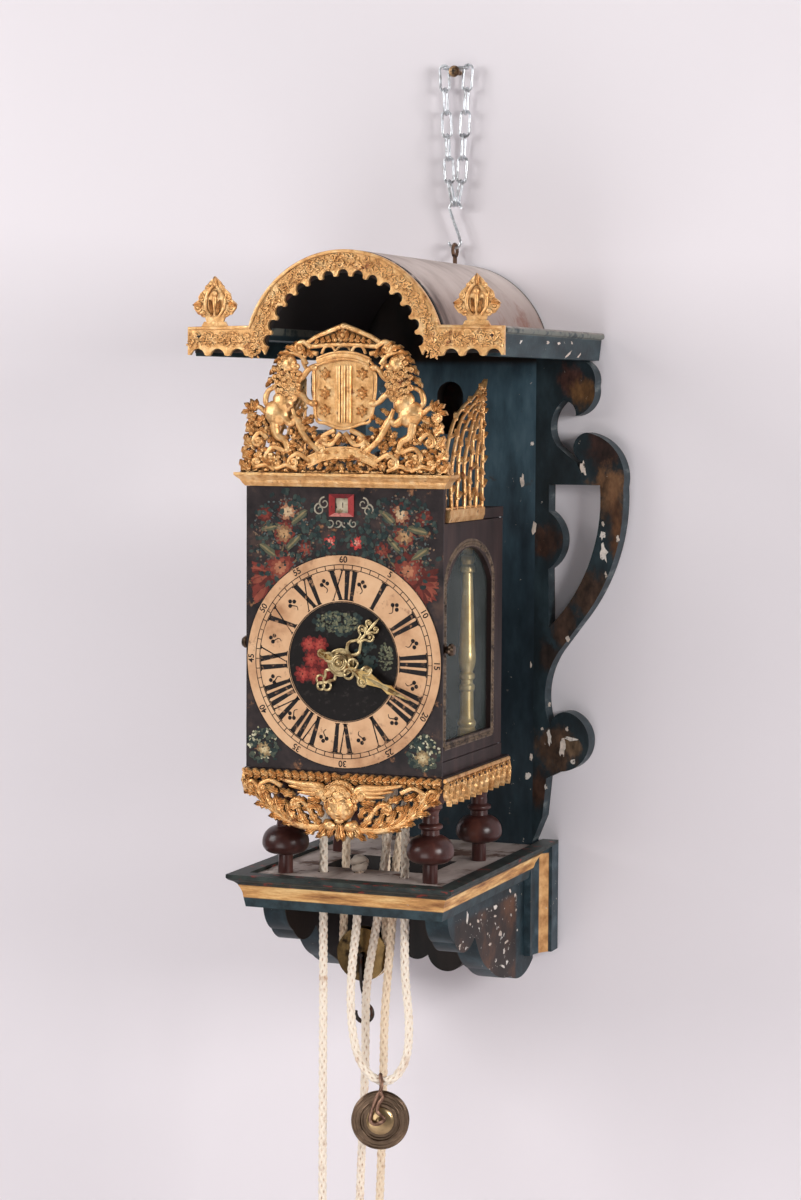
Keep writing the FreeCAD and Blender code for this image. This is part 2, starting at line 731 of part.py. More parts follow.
def make_dial_plate():
    half, top, foot = d.dial_half, d.dial_top, d.dial_foot
    window = [(-9, -449), (4.4, -449), (4.4, -435), (-9, -435)]
    plate = facing("dial_sheet", d.dial_front, d.dial_sheet,
                   [(-half, foot), (half, foot), (half, top), (-half, top)],
                   [window], [(0, d.axis_height, 6)])
    rear = d.dial_sheet - d.dial_front
    motion_stud = rod("motion_stud", 2, rear - 0.5, rear + 12.5, 24, 0, d.axis_height, "y")
    date_stud = rod("date_stud", 2.5, rear - 0.5, rear + 4.5, d.date_x, 0, d.date_height, "y")
    keep("dial_plate", fuse("dial_plate", plate, motion_stud, date_stud))


def make_case():
    half, rear = d.case_half, d.case_rear
    front = d.dial_front - d.dial_sheet
    floor = block("floor_board", (-half, half), (-front, -rear), (d.plinth_top, d.base_top))
    plinth = block("plinth_board", (-d.plinth_half, d.plinth_half), (-d.dial_front, -d.plinth_rear),
                   (d.plinth_foot, d.plinth_top))
    through = (d.plinth_foot - 5, d.base_top + 5)
    drills = [rod("rope_hole_a", 9, *through, -d.going_rope_radius, -d.going_rope_y),
              rod("rope_hole_f", 9, *through, d.going_rope_radius, -d.going_rope_y),
              rod("rope_hole_b", 9, *through, -43, -d.strike_rope_y),
              rod("rope_hole_d", 7.6, *through, 10.6, -194),
              rod("rope_hole_tie", 4.7, *through, d.strike_pulley_x + 23.3, -d.strike_rope_y),
              block("rope_slot_e", (20, 42), (-216, -184), through),
              rod("hammer_step", 2.06, d.base_top - 7, d.base_top + 5, d.hammer_x, -d.hammer_y)]
    drills += hinge_holes("base", d.base_top - 7, d.base_top + 5)
    keep("case_base", cut("case_base", fuse("base_boards", floor, plinth), *drills))
    under = d.case_top - d.case_lid
    lid = block("lid_board", (-half, half), (-front, -rear), (under, d.case_top))
    rail = block("front_rail", (-half - 1, half + 1), (-front, 11 - front), (d.case_top, d.rail_top))
    holes = [rod("hammer_hole", 2.06, under - 5, d.case_top + 5, d.hammer_x, -d.hammer_y)]
    holes += hinge_holes("lid", under - 5, d.case_top - 3)
    holes.append(rod("date_pocket", d.date_radius + 1, -front - 1, 4 - front, d.date_x, 0, d.date_height,
                     "y"))
    keep("case_top", cut("case_top", fuse("lid_boards", lid, rail), *holes))
    back = block("back_board", (-91, 91), (-rear - 6, -rear), (d.base_top, under))
    verge_hole = rod("verge_way", 4, -rear - 10, -rear + 5, 0, 0, d.verge_height, "y")
    keep("case_back", cut("case_back", back, verge_hole))


def hinge_holes(name, low, high):
    right = rod(name + "_hinge_right", d.hinge_radius, low, high, d.hinge_x, -d.hinge_y)
    left = rod(name + "_hinge_left", d.hinge_radius, low, high, -d.hinge_x, -d.hinge_y)
    return [right, left]


def make_hinge_pins():
    pins = []
    for side, name in ((1, "right"), (-1, "left")):
        x = side * d.hinge_x
        pins.append(rod("pin_low_" + name, d.hinge_radius, d.base_top - 7, d.door_foot + 20, x, -d.hinge_y))
        pins.append(rod("pin_high_" + name, d.hinge_radius, d.door_top - 20, d.case_top - 3, x, -d.hinge_y))
    keep("door_hinge_pins", group("door_hinge_pins", *pins))


def make_cornice():
    top, foot = d.rail_top.value, d.dial_top.value + 0.3
    front = d.dial_front.value
    levels = [(102.5, front + 1.5, foot), (105, front + 4, foot + 3.5), (106.5, front + 5, foot + 6),
              (110, front + 7.5, foot + 9), (111.5, front + 9, foot + 10.5), (111.5, front + 9, top)]
    outer = solid("cornice_block", stack(levels, -front + 14))
    inner_front = d.dial_front - d.dial_sheet
    inner = block("cornice_inside", (-d.case_half - 1, d.case_half + 1), (-inner_front, 0),
                  (foot - 5, top + 5))
    side = [(d.case_half, d.case_top - 10), (d.case_half + 3, d.case_top - 10),
            (d.case_half + 5, d.case_top - 5), (d.case_half + 5, d.case_top + 2),
            (d.case_half, d.case_top + 2)]
    right = extruded("side_cornice", "XZ_Plane", 97, side)
    place(right, 0, -201, 0)
    keep("cornice", group("cornice", cut("cornice_front", outer, inner), right,
                          mirrored("side_cornice_left", right)))


def on_fret(x, z):
    """A point of the front fret, measured on one 214 wide and 142 tall above its foot."""
    return d.fret_half * (x / 107.0), d.rail_top + d.fret_tall * ((z + 411.5) / 142.0)


def make_frets():
    right_edge = [(107, -411.5), (103, -385), (101, -365), (98, -348), (83, -345), (79, -335), (75, -315),
                  (70, -301),
                  (62, -293), (50, -291), (43, -284), (30, -281), (0, -269.5)]
    outline = [on_fret(x, z) for x, z in right_edge] + [on_fret(-x, z) for x, z in reversed(right_edge[:-1])]
    right_gaps = [[(8, -295), (19, -294), (17, -288.5), (9, -289)],
                  [(34, -305), (38, -290), (43, -296), (40, -309)],
                  [(33, -330), (38, -330), (37, -351), (32, -349)],
                  [(44, -352), (51, -356), (46, -368), (41, -362)],
                  [(84, -352), (91, -353), (90, -366), (86, -362)],
                  [(62, -394), (74, -391), (73, -399), (63, -400)]]
    gaps = []
    for gap in right_gaps:
        gaps.append([on_fret(x, z) for x, z in gap])
        gaps.append([on_fret(-x, z) for x, z in reversed(gap)])
    keep("front_fret", facing("front_fret", d.dial_front + 3, d.fret_sheet, outline, gaps))
    front, rear, foot = -d.side_fret_front, -d.side_fret_rear, d.case_top
    tall = d.side_fret_tall
    side = [(front, foot), (rear, foot), (rear, foot + tall * 0.9), (rear - 6, foot + tall),
            (rear - 14, foot + tall * 0.88), (rear - 22, foot + tall * 0.72),
            (rear - 45, foot + tall * 0.5, front + 26, foot + tall * 0.36), (front, foot + tall * 0.3)]
    slits = [[(rear - 12, foot + 25), (rear - 16, foot + 70), (rear - 24, foot + 55), (rear - 22, foot + 22)],
             [(rear - 40, foot + 14), (rear - 38, foot + 40), (rear - 52, foot + 36), (rear - 54, foot + 12)],
             [(rear - 72, foot + 10), (rear - 72, foot + 30), (rear - 90, foot + 28), (rear - 90, foot + 10)]]
    right = sideways("side_fret", d.case_half - 4, 3, side, slits)
    keep("side_frets", group("side_frets", right, mirrored("side_fret_left", right)))


def make_aprons():
    top, drop = d.plinth_top - 1, d.apron_drop / 53.0
    right_edge = [(101, 0), (101, -13), (98, -25), (88, -34), (73, -47), (57, -53), (38, -54), (24, -62),
                  (0, -65)]
    points = [(x, top + drop * z) for x, z in right_edge]
    points += [(-x, top + drop * z) for x, z in reversed(right_edge[:-1])]
    gaps = []
    for gap in ([(52, -42), (58, -38), (56, -46)], [(36, -40), (42, -43), (38, -48)],
                [(26, -20), (30, -14), (30, -26)]):
        gaps.append([(x, top + drop * z) for x, z in gap])
        gaps.append([(-x, top + drop * z) for x, z in reversed(gap)])
    keep("front_apron", facing("front_apron", d.dial_front + 4, 4, points, gaps))
    front, rear = -d.dial_front, -(d.plinth_rear + 3)
    foot = top - d.side_apron_drop
    lobes = 10
    side = [(front, foot + 6), (front, top), (rear, top), (rear, foot + 6)]
    for number in range(lobes):
        start = rear + (front - rear) * (number / lobes)
        end = rear + (front - rear) * ((number + 1) / lobes)
        if number < lobes - 1:
            side.append(((start + end) / 2, foot, end, foot + 6))
        else:
            side[0] = ((start + end) / 2, foot, front, foot + 6)
    right = sideways("side_apron", d.plinth_half, 3.5, side)
    keep("side_aprons", group("side_aprons", right, mirrored("side_apron_left", right)))


def make_feet():
    tall = d.plinth_foot - d.shelf_top
    ball = [(9, 20.5), (19.5, 22.2, 23.1, 31), (20.2, 40, 9, 46.8)]
    neck = [(8.6, 51.5), (11, 53), (12, 55, 11, 57), (8, 58.5), (8, 64), (8.4, 69, 11.5, 73), (11.5, 76)]
    profile = [(0, 0), (7.5, 0), (7.2, 18)] + ball + neck + [(15, 80), (15, tall), (0, tall)]
    feet = []
    for number, (side, y) in enumerate(((1, d.foot_front), (-1, d.foot_front), (1, d.foot_rear),
                                        (-1, d.foot_rear))):
        feet.append(turned("foot_%d" % number, profile, side * d.foot_x, -y, d.shelf_top))
    keep("feet", group("feet", *feet))


def make_doors():
    inner = d.door_outer - d.door_thick
    front, rear, foot, top = -d.door_front, -d.door_rear, d.door_foot, d.door_top
    left, right = front + 14.5, rear - 32
    window = [(left, foot + 18), (right, foot + 18), (right, top - 60),
              ((left + right) / 2, top - 25, left, top - 60)]
    frame = sideways("door_board", inner, d.door_thick,
                     [(front, foot), (rear, foot), (rear, top), (front, top)],
                     [window])
    bore = rod("door_bore", d.hinge_radius + d.running_gap, foot - 5, top + 5, d.hinge_x, -d.hinge_y)
    door = keep("door_right", cut("door_right", frame, bore))
    pane = block("door_pane", (inner - d.glass_thick, inner), (left - 7, right + 7), (foot + 10, top - 15))
    glass = keep("door_glass_right", pane)
    steps = [(0, 0), (5, 0), (5, 2), (3.5, 2.6), (3.5, 5), (6, 6.4), (6, 8.6), (4.5, 11), (0, 11.6)]
    knob = turned("door_knob", steps, d.door_outer, front + 7, (foot + top) / 2 - 6,
                  Rotation(Vector(0, 1, 0), 90))
    keep("door_knob_right", knob)
    keep("door_left", mirrored("door_left", door))
    keep("door_glass_left", mirrored("door_glass_left", glass))
    keep("door_knob_left", mirrored("door_knob_left", knob))


def make_pillars():
    """Turned pillars: a foot, a short shaft, two rings, a long tapering vase, a ringed head and a stud."""
    tall = d.case_top - d.case_lid - d.base_top
    profile = [(0, 0), (9, 0), (9, 16), (8, 18), (9.4, 21.5, 8, 25), (7.2, 27), (6.4, 54), (7.6, 56),
               (7.6, 60), (5.8, 62), (5.8, 65), (7.6, 67), (7.6, 71), (5.4, 73), (8.4, 83, 8.2, 93), (4.8, 172),
               (7.4, 174), (7.4, 178), (5.6, 181), (7, 185), (7, 189), (4.6, 191), (4.6, 195), (6.5, 197),
               (6.5, 200), (3.5, 202), (3.5, tall), (0, tall)]
    pillars = []
    for number, (side, y) in enumerate(((1, d.pillar_front), (-1, d.pillar_front), (1, d.pillar_rear),
                                        (-1, d.pillar_rear))):
        pillars.append(turned("pillar_%d" % number, profile, side * d.pillar_x, -y, d.base_top))
    keep("pillars", group("pillars", *pillars))


# Movement. Every arbor lies along Y, its own axis pointing into the room.

GREAT_TEETH, CENTRE_DISTANCE = 72, 51.5
CONTRATE_PINION, HOOP_PINION = 8, 9
CONTRATE_TEETH, CONTRATE_RADIUS, CROWN_PINION, CROWN_TEETH = 54, 24.0, 6, 45
HOOP_TEETH, HOOP_RADIUS, FLY_PINION = 56, 22.0, 7
COUNT_TEETH, COUNT_RADIUS, COUNT_PINION = 78, 39.0, 8
UP, DOWN = math.pi / 2, -math.pi / 2
PART_LINE = 224.0


def half_step(teeth):
    return math.pi / teeth


def spin_at(name, shape, x, z):
    return keep(name, solid(name, shape, x, 0, z, TO_ROOM))


def axle(radius, low, high):
    return disc(radius, low, high)


def rope_sprocket(rope_radius, middle):
    """Grooved drum for the rope, six either side of its middle plane."""
    groove = rope_radius - d.rope_thick.value / 2 - 0.5
    rim = rope_radius + 2.6
    drum = one_solid(disc(groove, middle - 6, middle + 6), disc(rim, middle - 6, middle - 4.8),
                     disc(rim, middle + 4.8, middle + 6))
    return drum.cut(crossing(12, groove - 7, 4))


def second_arbor():
    """Height of the arbor above the great wheels."""
    return d.axis_height + CENTRE_DISTANCE


def make_going_train():
    arbor, rope_plane = d.arbor_radius.value, d.going_rope_y.value
    radius = CENTRE_DISTANCE * GREAT_TEETH / (GREAT_TEETH + CONTRATE_PINION)
    great = wheel(GREAT_TEETH, radius, 4, 279, UP + half_step(GREAT_TEETH), 6, 9, 2.6)
    drum = rope_sprocket(d.going_rope_radius.value, rope_plane)
    cannon = wheel(12, 6.0, 3, 300, half_step(12))
    shaft = axle(arbor, PART_LINE + 0.3, 326)
    spacer = disc(8, rope_plane + 6, 279.5)
    spin_at("going_great_wheel", one_solid(great, drum, spacer, cannon, shaft), 0, d.axis_height)
    pinion_radius = CENTRE_DISTANCE - radius
    pinion = wheel(CONTRATE_PINION, pinion_radius, 5, 278.5, DOWN)
    plate = disc(CONTRATE_RADIUS + 1, 268, 270).cut(crossing(6, CONTRATE_RADIUS - 4, 1.6))
    crown = slotted_ring(CONTRATE_RADIUS + 1, CONTRATE_RADIUS - 1, 264.3, 268.4, CONTRATE_TEETH, 0.36)
    band = disc(CONTRATE_RADIUS + 1, 267.2, 268.4).cut(disc(CONTRATE_RADIUS - 1, 267, 269))
    shaft = axle(arbor, PART_LINE + 0.3, 294)
    spin_at("contrate_wheel", one_solid(plate, band, crown, pinion, shaft, disc(6.5, 268, 272)), 0,
            second_arbor())


def crown_spot():
    """The crown wheel's upright arbor stands just behind the contrate teeth."""
    return -262.3, (d.axis_height + CENTRE_DISTANCE + CONTRATE_RADIUS).value


def make_crown_wheel():
    y, mesh = crown_spot()
    pinion = wheel(CROWN_PINION, CONTRATE_RADIUS * CROWN_PINION / CONTRATE_TEETH, 7, mesh - 3.5, DOWN)
    shaft = disc(1.5, mesh - 14, mesh + 18)
    plate = disc(20, mesh + 15.5, mesh + 17.5).cut(crossing(5, 17, 1.5))
    teeth = slotted_ring(20, 18.4, mesh + 17, mesh + 23.5, CROWN_TEETH, 0.4)
    band = disc(20, mesh + 17, mesh + 19).cut(disc(18.4, mesh + 16, mesh + 20))
    keep("crown_wheel", solid("crown_wheel", one_solid(plate, band, teeth, pinion, shaft), 0, y, 0))


def make_verge():
    y, _ = crown_spot()
    shaft = rod("verge_arbor", 1.5, -292, -d.pendulum_y + 4, 0, 0, d.verge_height, "y")
    flags = []
    for name, offset, lean in (("front", -19.2, 45), ("rear", 19.2, -45)):
        flag = Part.makeBox(1.2, 4, 6.5, Vector(-0.6, -2, -6.5))
        flag.rotate(Vector(0, 0, 0), Vector(0, 1, 0), lean)
        flags.append(solid("verge_flag_" + name, Part.makeCompound([flag]), 0, y + offset, d.verge_height))
    keep("verge", fuse("verge", shaft, *flags))
    hub = rod("pendulum_hub", 4, -d.pendulum_y - 3, -d.pendulum_y + 3, 0, 0, d.verge_height, "y")
    foot = d.verge_height - d.pendulum_length
    wire = rod("pendulum_rod", 1.2, foot, d.verge_height - 3, 0, -d.pendulum_y)
    bob = turned("pendulum_bob", [(0, -5), (11, -4), (16, 0, 11, 4), (0, 5)], 0, -d.pendulum_y, foot, TO_ROOM)
    bore = rod("pendulum_bore", 1.5, -d.pendulum_y - 5, -d.pendulum_y + 5, 0, 0, d.verge_height, "y")
    keep("pendulum", cut("pendulum", fuse("pendulum_parts", hub, wire, bob), bore))


def make_motion_work():
    gap = d.running_gap.value
    pipe = one_solid(wheel(48, 19.2, 2, 306, 0.0, 4, 7, 1.6), disc(4.5, 305.5, 319.5))
    spin_at("hour_wheel", pipe.cut(disc(d.arbor_radius.value + gap, 300, 325)), 0, d.axis_height)
    minute = one_solid(wheel(36, 18.0, 3, 300, math.pi, 4, 6, 1.6),
                       wheel(12, 4.8, 2, 306, math.pi + half_step(12)),
                       disc(3.6, 299.5, 308.5))
    spin_at("minute_wheel", minute.cut(disc(2 + gap, 290, 315)), 24, d.axis_height)


def hand_outline(reach, tail, wide):
    """Pierced-style hand pointing up: boss, leaf with waist, point, and a short lobed tail."""
    right = [(wide * 0.75, 6), (wide * 0.3, 11), (wide, reach * 0.42), (wide * 0.35, reach * 0.62),
             (wide * 0.75, reach * 0.72), (wide * 0.22, reach * 0.84)]
    lower = [(wide * 0.3, -11), (wide * 0.8, -tail * 0.8), (wide * 0.35, -tail)]
    outline = [(0, reach)] + [(-x, z) for x, z in reversed(right)] + [(-wide * 0.75, -6)]
    outline += [(-x, z) for x, z in lower] + [(x, z) for x,
                                              z in reversed(lower)] + [(wide * 0.75, -6)] + right
    return outline


def make_hands():
    hour = facing("hour_hand", 319, 1.5, hand_outline(58, 33, 8), (), [(0, 0, 4.5)])
    place(hour, 0, -317.5, d.axis_height, Rotation(Vector(0, 1, 0), 41.7))
    keep("hour_hand", hour)
    minute = facing("minute_hand", 324, 1.5, hand_outline(79, 24, 6), (),
                    [(0, 0, d.arbor_radius + d.running_gap)])
    place(minute, 0, -322.5, d.axis_height, Rotation(Vector(0, 1, 0), 114.6))
    keep("minute_hand", minute)


def make_date_disc():
    plate = disc(d.date_radius.value, 308.9, 310).cut(disc(2.5 + d.running_gap.value, 300, 320))
    spin_at("date_disc", plate, d.date_x, d.date_height)


def make_striking_train():
    arbor, rope_plane = d.arbor_radius.value, d.strike_rope_y.value
    radius = CENTRE_DISTANCE * GREAT_TEETH / (GREAT_TEETH + HOOP_PINION)
    great = wheel(GREAT_TEETH, radius, 4, 210, UP + half_step(GREAT_TEETH), 14, 9, 2.6)
    drum = rope_sprocket(d.strike_rope_radius.value, rope_plane)
    pins = []
    for number in range(8):
        angle = number * math.pi / 4 + math.pi / 8
        pins.append(Part.makeCylinder(1.5, 6, Vector(36 * math.cos(angle), 36 * math.sin(angle), 205)))
    count_pinion = wheel(COUNT_PINION, COUNT_RADIUS * COUNT_PINION / COUNT_TEETH, 3.4, 153,
                         DOWN + half_step(COUNT_PINION))
    shaft = axle(arbor, 150, PART_LINE - 0.3)
    spacer = disc(8, rope_plane + 5.5, 211)
    spin_at("strike_great_wheel", one_solid(great, drum, spacer, count_pinion, shaft, *pins), 0,
            d.axis_height)
    pinion = wheel(HOOP_PINION, CENTRE_DISTANCE - radius, 5, 209.5, DOWN)
    hoop = wheel(HOOP_TEETH, HOOP_RADIUS, 3, 177, UP + half_step(HOOP_TEETH), 4.5, 6, 1.6)
    rim = disc(19.5, 179.5, 183).cut(disc(18, 179, 184))
    rim = rim.cut(Part.makeBox(25, 9, 8, Vector(0, -4.5, 180)))
    shaft = axle(arbor, 160, PART_LINE - 0.3)
    spin_at("hoop_wheel", one_solid(hoop, rim, pinion, shaft), 0, second_arbor())
    fly_radius = HOOP_RADIUS * FLY_PINION / HOOP_TEETH
    fly_pinion = wheel(FLY_PINION, fly_radius, 4, 176.5, DOWN)
    vane = Part.makeBox(36, 1, 19, Vector(-18, -0.5, 186.5))
    shaft = axle(1.5, 160, PART_LINE - 0.3)
    spin_at("fly", one_solid(fly_pinion, vane, shaft, disc(2.6, 186, 206)), 0, fly_height())
    count_gear = wheel(COUNT_TEETH, COUNT_RADIUS, 3, 153.2, UP, 8, 7, 2.4)
    lock = disc(34, 150.6, 153.6).cut(disc(31, 150, 154))
    blows = 0
    notches = []
    for hour in range(1, 13):
        blows += hour
        notch = Part.makeBox(8, 2.2, 3.2, Vector(29, -1.1, 149))
        notch.rotate(Vector(0, 0, 0), Vector(0, 0, 1), 360.0 * blows / COUNT_TEETH)
        notches.append(notch)
    lock = lock.cut(Part.makeCompound(notches))
    count = one_solid(count_gear, lock, disc(6, 150.6, 156)).cut(disc(2.5 + d.running_gap.value, 145, 160))
    spin_at("count_wheel", count, 0, count_height())


def fly_height():
    return second_arbor() + HOOP_RADIUS * (1 + FLY_PINION / HOOP_TEETH)


def count_height():
    return d.axis_height - COUNT_RADIUS * (1 + COUNT_PINION / COUNT_TEETH)


def make_bars():
    gap = d.running_gap
    arbor = d.arbor_radius + gap
    height = (d.base_top, d.case_top - d.case_lid)
    wide = (-d.bar_half, d.bar_half)
    alarm = alarm_height()

    def drill(name, radius, near, z, x=0):
        return rod(name, radius, -near - 5, -near + d.bar_thick + 5, x, 0, z, "y")

    front = block("front_bar_block", wide, (-d.front_bar, d.bar_thick - d.front_bar), height)
    front = cut("front_bar", front, drill("fb_great", arbor, d.front_bar, d.axis_height),
                drill("fb_contrate", arbor, d.front_bar, second_arbor()),
                drill("fb_verge", 1.5 + gap, d.front_bar, d.verge_height))
    y, mesh = crown_spot()
    slab = block("middle_bar_block", wide, (-d.middle_bar, d.bar_thick - d.middle_bar), height)
    cocks = [block("crown_cock_%d" % n, (-4, 4), (y - 4, 1 - d.middle_bar), (low, low + 4))
             for n, low in enumerate((mesh - 14, mesh + 7))]
    middle = cut("middle_bar", fuse("middle_bar_parts", slab, *cocks),
                 drill("mb_great", arbor, d.middle_bar, d.axis_height),
                 drill("mb_second", arbor, d.middle_bar, second_arbor()),
                 drill("mb_fly", 1.5 + gap, d.middle_bar, fly_height()),
                 drill("mb_alarm", 2 + gap, d.middle_bar, alarm),
                 drill("mb_verge", 1.5 + gap, d.middle_bar, d.verge_height),
                 rod("crown_way", 1.5 + gap, mesh - 20, mesh + 15, 0, y))
    stud = rod("count_stud", 2.5, 5 - d.rear_bar, d.bar_thick + 9 - d.rear_bar, 0, 0, count_height(), "y")
    slab = block("rear_bar_block", wide, (-d.rear_bar, d.bar_thick - d.rear_bar), height)
    rear = cut("rear_bar", fuse("rear_bar_parts", slab, stud),
               drill("rb_great", arbor, d.rear_bar, d.axis_height),
               drill("rb_second", arbor, d.rear_bar, second_arbor()),
               drill("rb_fly", 1.5 + gap, d.rear_bar, fly_height()),
               drill("rb_alarm", 2 + gap, d.rear_bar, alarm),
               drill("rb_verge", 1.5 + gap, d.rear_bar, d.verge_height))
    keep("train_bars", group("train_bars", front, middle, rear))


def alarm_height():
    return d.axis_height - 68.5


def make_alarm_drum():
    middle = d.strike_rope_y.value
    drum = one_solid(disc(7.2, middle - 8, middle + 8), disc(14.5, middle - 8, middle - 5.5),
                     disc(14.5, middle + 5.5, middle + 8), wheel(14, 11.0, 2, middle + 12, 0.0),
                     disc(4, middle + 7.5, middle + 12.5), disc(2, 160, 226))
    spin_at("alarm_drum", drum, 0, alarm_height())


def make_bell_and_hammer():
    r, mouth = d.bell_radius, d.bell_mouth
    outer = [(r, mouth), (r - 3.5, mouth + 12, r - 10, mouth + 24), (r - 18, mouth + 34, 3.1, mouth + 37)]
    inner = [(3.1, mouth + 34.4), (r - 19.5, mouth + 31.6, r - 12.4, mouth + 22.6),
             (r - 6, mouth + 11, r - 2.6, mouth)]
    keep("bell", turned("bell", outer + inner, 0, -d.bell_y, 0))
    lift = d.bell_mouth + 34.4
    post = [(0, d.case_top), (10, d.case_top), (10, d.case_top + 3), (3.6, d.case_top + 5), (3.6, lift - 3),
            (6, lift),
            (3, lift), (3, lift + 3.2), (5, lift + 3.2), (5, lift + 6), (0, lift + 7)]
    keep("bell_stand", turned("bell_stand", post, 0, -d.bell_y, 0))
    level = d.case_top + 23
    arbor = rod("hammer_arbor", 2, d.base_top - 6, level + 4, d.hammer_x, -d.hammer_y)
    head_at = Vector(-14, -22, 0)
    arm = Part.makeCylinder(1.6, head_at.Length, Vector(0, 0, 0), head_at)
    head = Part.makeSphere(4.5, head_at)
    striker = solid("hammer_arm", arm.fuse(head), d.hammer_x, -d.hammer_y, level)
    tail_at = Vector(-15, -10, 0)
    tail = solid("hammer_tail", Part.makeCylinder(1.4, tail_at.Length, Vector(0, 0, 0), tail_at),
                 d.hammer_x, -d.hammer_y, d.axis_height)
    keep("hammer", fuse("hammer", arbor, striker, tail))


# Weight pulleys and ropes


def make_strike_pulley():
    """Brass sheave in an iron strap with an open weight hook below."""
    rope = strike_pulley_rope()
    groove = rope - d.rope_thick / 2 - 0.3
    rim = d.strike_pulley_radius
    arbor = d.arbor_radius
    profile = [(arbor + d.running_gap, -6.4), (rim, -6.4), (rim, -5.4), (groove, -4.4), (groove, 4.4),
               (rim, 5.4), (rim, 6.4), (arbor + d.running_gap, 6.4)]
    x, z = d.strike_pulley_x, d.strike_pulley_z
    keep("strike_pulley_sheave", turned("strike_sheave", profile, x, -d.strike_rope_y, z, TO_ROOM))
    plates = []
    for name, near, far in (("front", -9, -7), ("rear", 7, 9)):
        spot = -d.strike_rope_y
        plates.append(block("strike_plate_" + name, (x - 5, x + 5), (spot + near, spot + far),
                            (z - 42, z + 8)))
    bridge = block("strike_bridge", (x - 5, x + 5), (-d.strike_rope_y - 9, 9 - d.strike_rope_y),
                   (z - 44, z - 40))
    pin = rod("strike_axle", arbor, -d.strike_rope_y - 11, 11 - d.strike_rope_y, x, 0, z, "y")
    hook_x, hook_y, hook_z, hook_r = x.value, -d.strike_rope_y.value, z.value - 61, 11.0

    def on_hook(degrees):
        angle = math.radians(degrees)
        return Vector(hook_x + hook_r * math.cos(angle), hook_y, hook_z + hook_r * math.sin(angle))

    bow = piped(Part.Wire([Part.Arc(on_hook(84), on_hook(-50), on_hook(-190)).toShape()]), 2.0)
    neck = Part.makeCylinder(2.8, 12, Vector(hook_x, hook_y, hook_z + hook_r - 2.4))
    hook = solid("strike_hook", bow.fuse(neck))
    keep("strike_pulley_strap", fuse("strike_strap", *plates, bridge, pin, hook))


def strike_pulley_rope():
    """Radius at which the rope's middle runs round the striking pulley."""
    return d.strike_pulley_radius - 3.7


def make_going_pulley():
    """Turned bronze sheave hanging from the going rope by a wire bail."""
    rim = d.going_pulley_radius
    bore = 2 + d.running_gap
    profile = [(bore, -5), (12, -5), (14, -3.4), (19, -3.4), (20, -4.6), (rim, -4.6),
               (rim - 4, 0, rim, 4.6), (20, 4.6),
               (19, 3.4), (14, 3.4), (12, 5), (bore, 5)]
    turn = Rotation(Vector(0, 0, 1), d.going_pulley_turn.value)
    x, y, z = d.going_pulley_x, -d.going_rope_y, d.going_pulley_z
    keep("going_pulley_sheave", turned("going_sheave", profile, x, y, z, turn.multiply(TO_ROOM)))
    leg, lift, wire = 8.5, 36.52, 1.5
    path = Part.Wire([Part.LineSegment(Vector(0, -leg, -3), Vector(0, -leg, lift)).toShape(),
                      Part.Arc(Vector(0, -leg, lift), Vector(0, 0, lift + leg),
                               Vector(0, leg, lift)).toShape(),
                      Part.LineSegment(Vector(0, leg, lift), Vector(0, leg, -3)).toShape()])
    pin = Part.makeCylinder(2, 24, Vector(0, -12, 0), Vector(0, 1, 0))
    bail = piped(path, wire).fuse(pin)
    keep("going_pulley_strap", solid("going_bail", bail, x, y, z, turn))


def vectors(points):
    return [Vector(*point) for point in points]


def keep_rope(name, edges, bends):
    wire = Part.Wire(edges)
    radius = d.rope_thick.value / 2
    shape = piped(wire, radius)
    report_rope(name, shape, wire, radius, bends)
    keep(name, solid(name, shape))


def make_going_rope():
    """From its shelf knot down through the pulley's bail, up over the sprocket and down to its free end."""
    side, depth, axis = d.going_rope_radius.value, -d.going_rope_y.value, d.axis_height.value
    points = vectors([(-9, -247, -799), (-9, -249, -846), (-14, -255, -902), (-14, depth, -946),
                      (-8, depth, -984),
                      (4, depth, -1004), (18.5, depth, -1011), (34, depth, -1007), (47, depth, -985),
                      (49, depth, -946), (side, depth, -902), (side, depth, axis)])
    bends = free_radii(points)
    edges = rounded_path(points, bends).Edges
    edges.append(Part.Arc(Vector(side, depth, axis), Vector(0, depth, axis + side),
                          Vector(-side, depth, axis)).toShape())
    edges.append(Part.LineSegment(Vector(-side, depth, axis), Vector(-side, depth, -1165)).toShape())
    keep_rope("rope_going", edges, bends + [side])


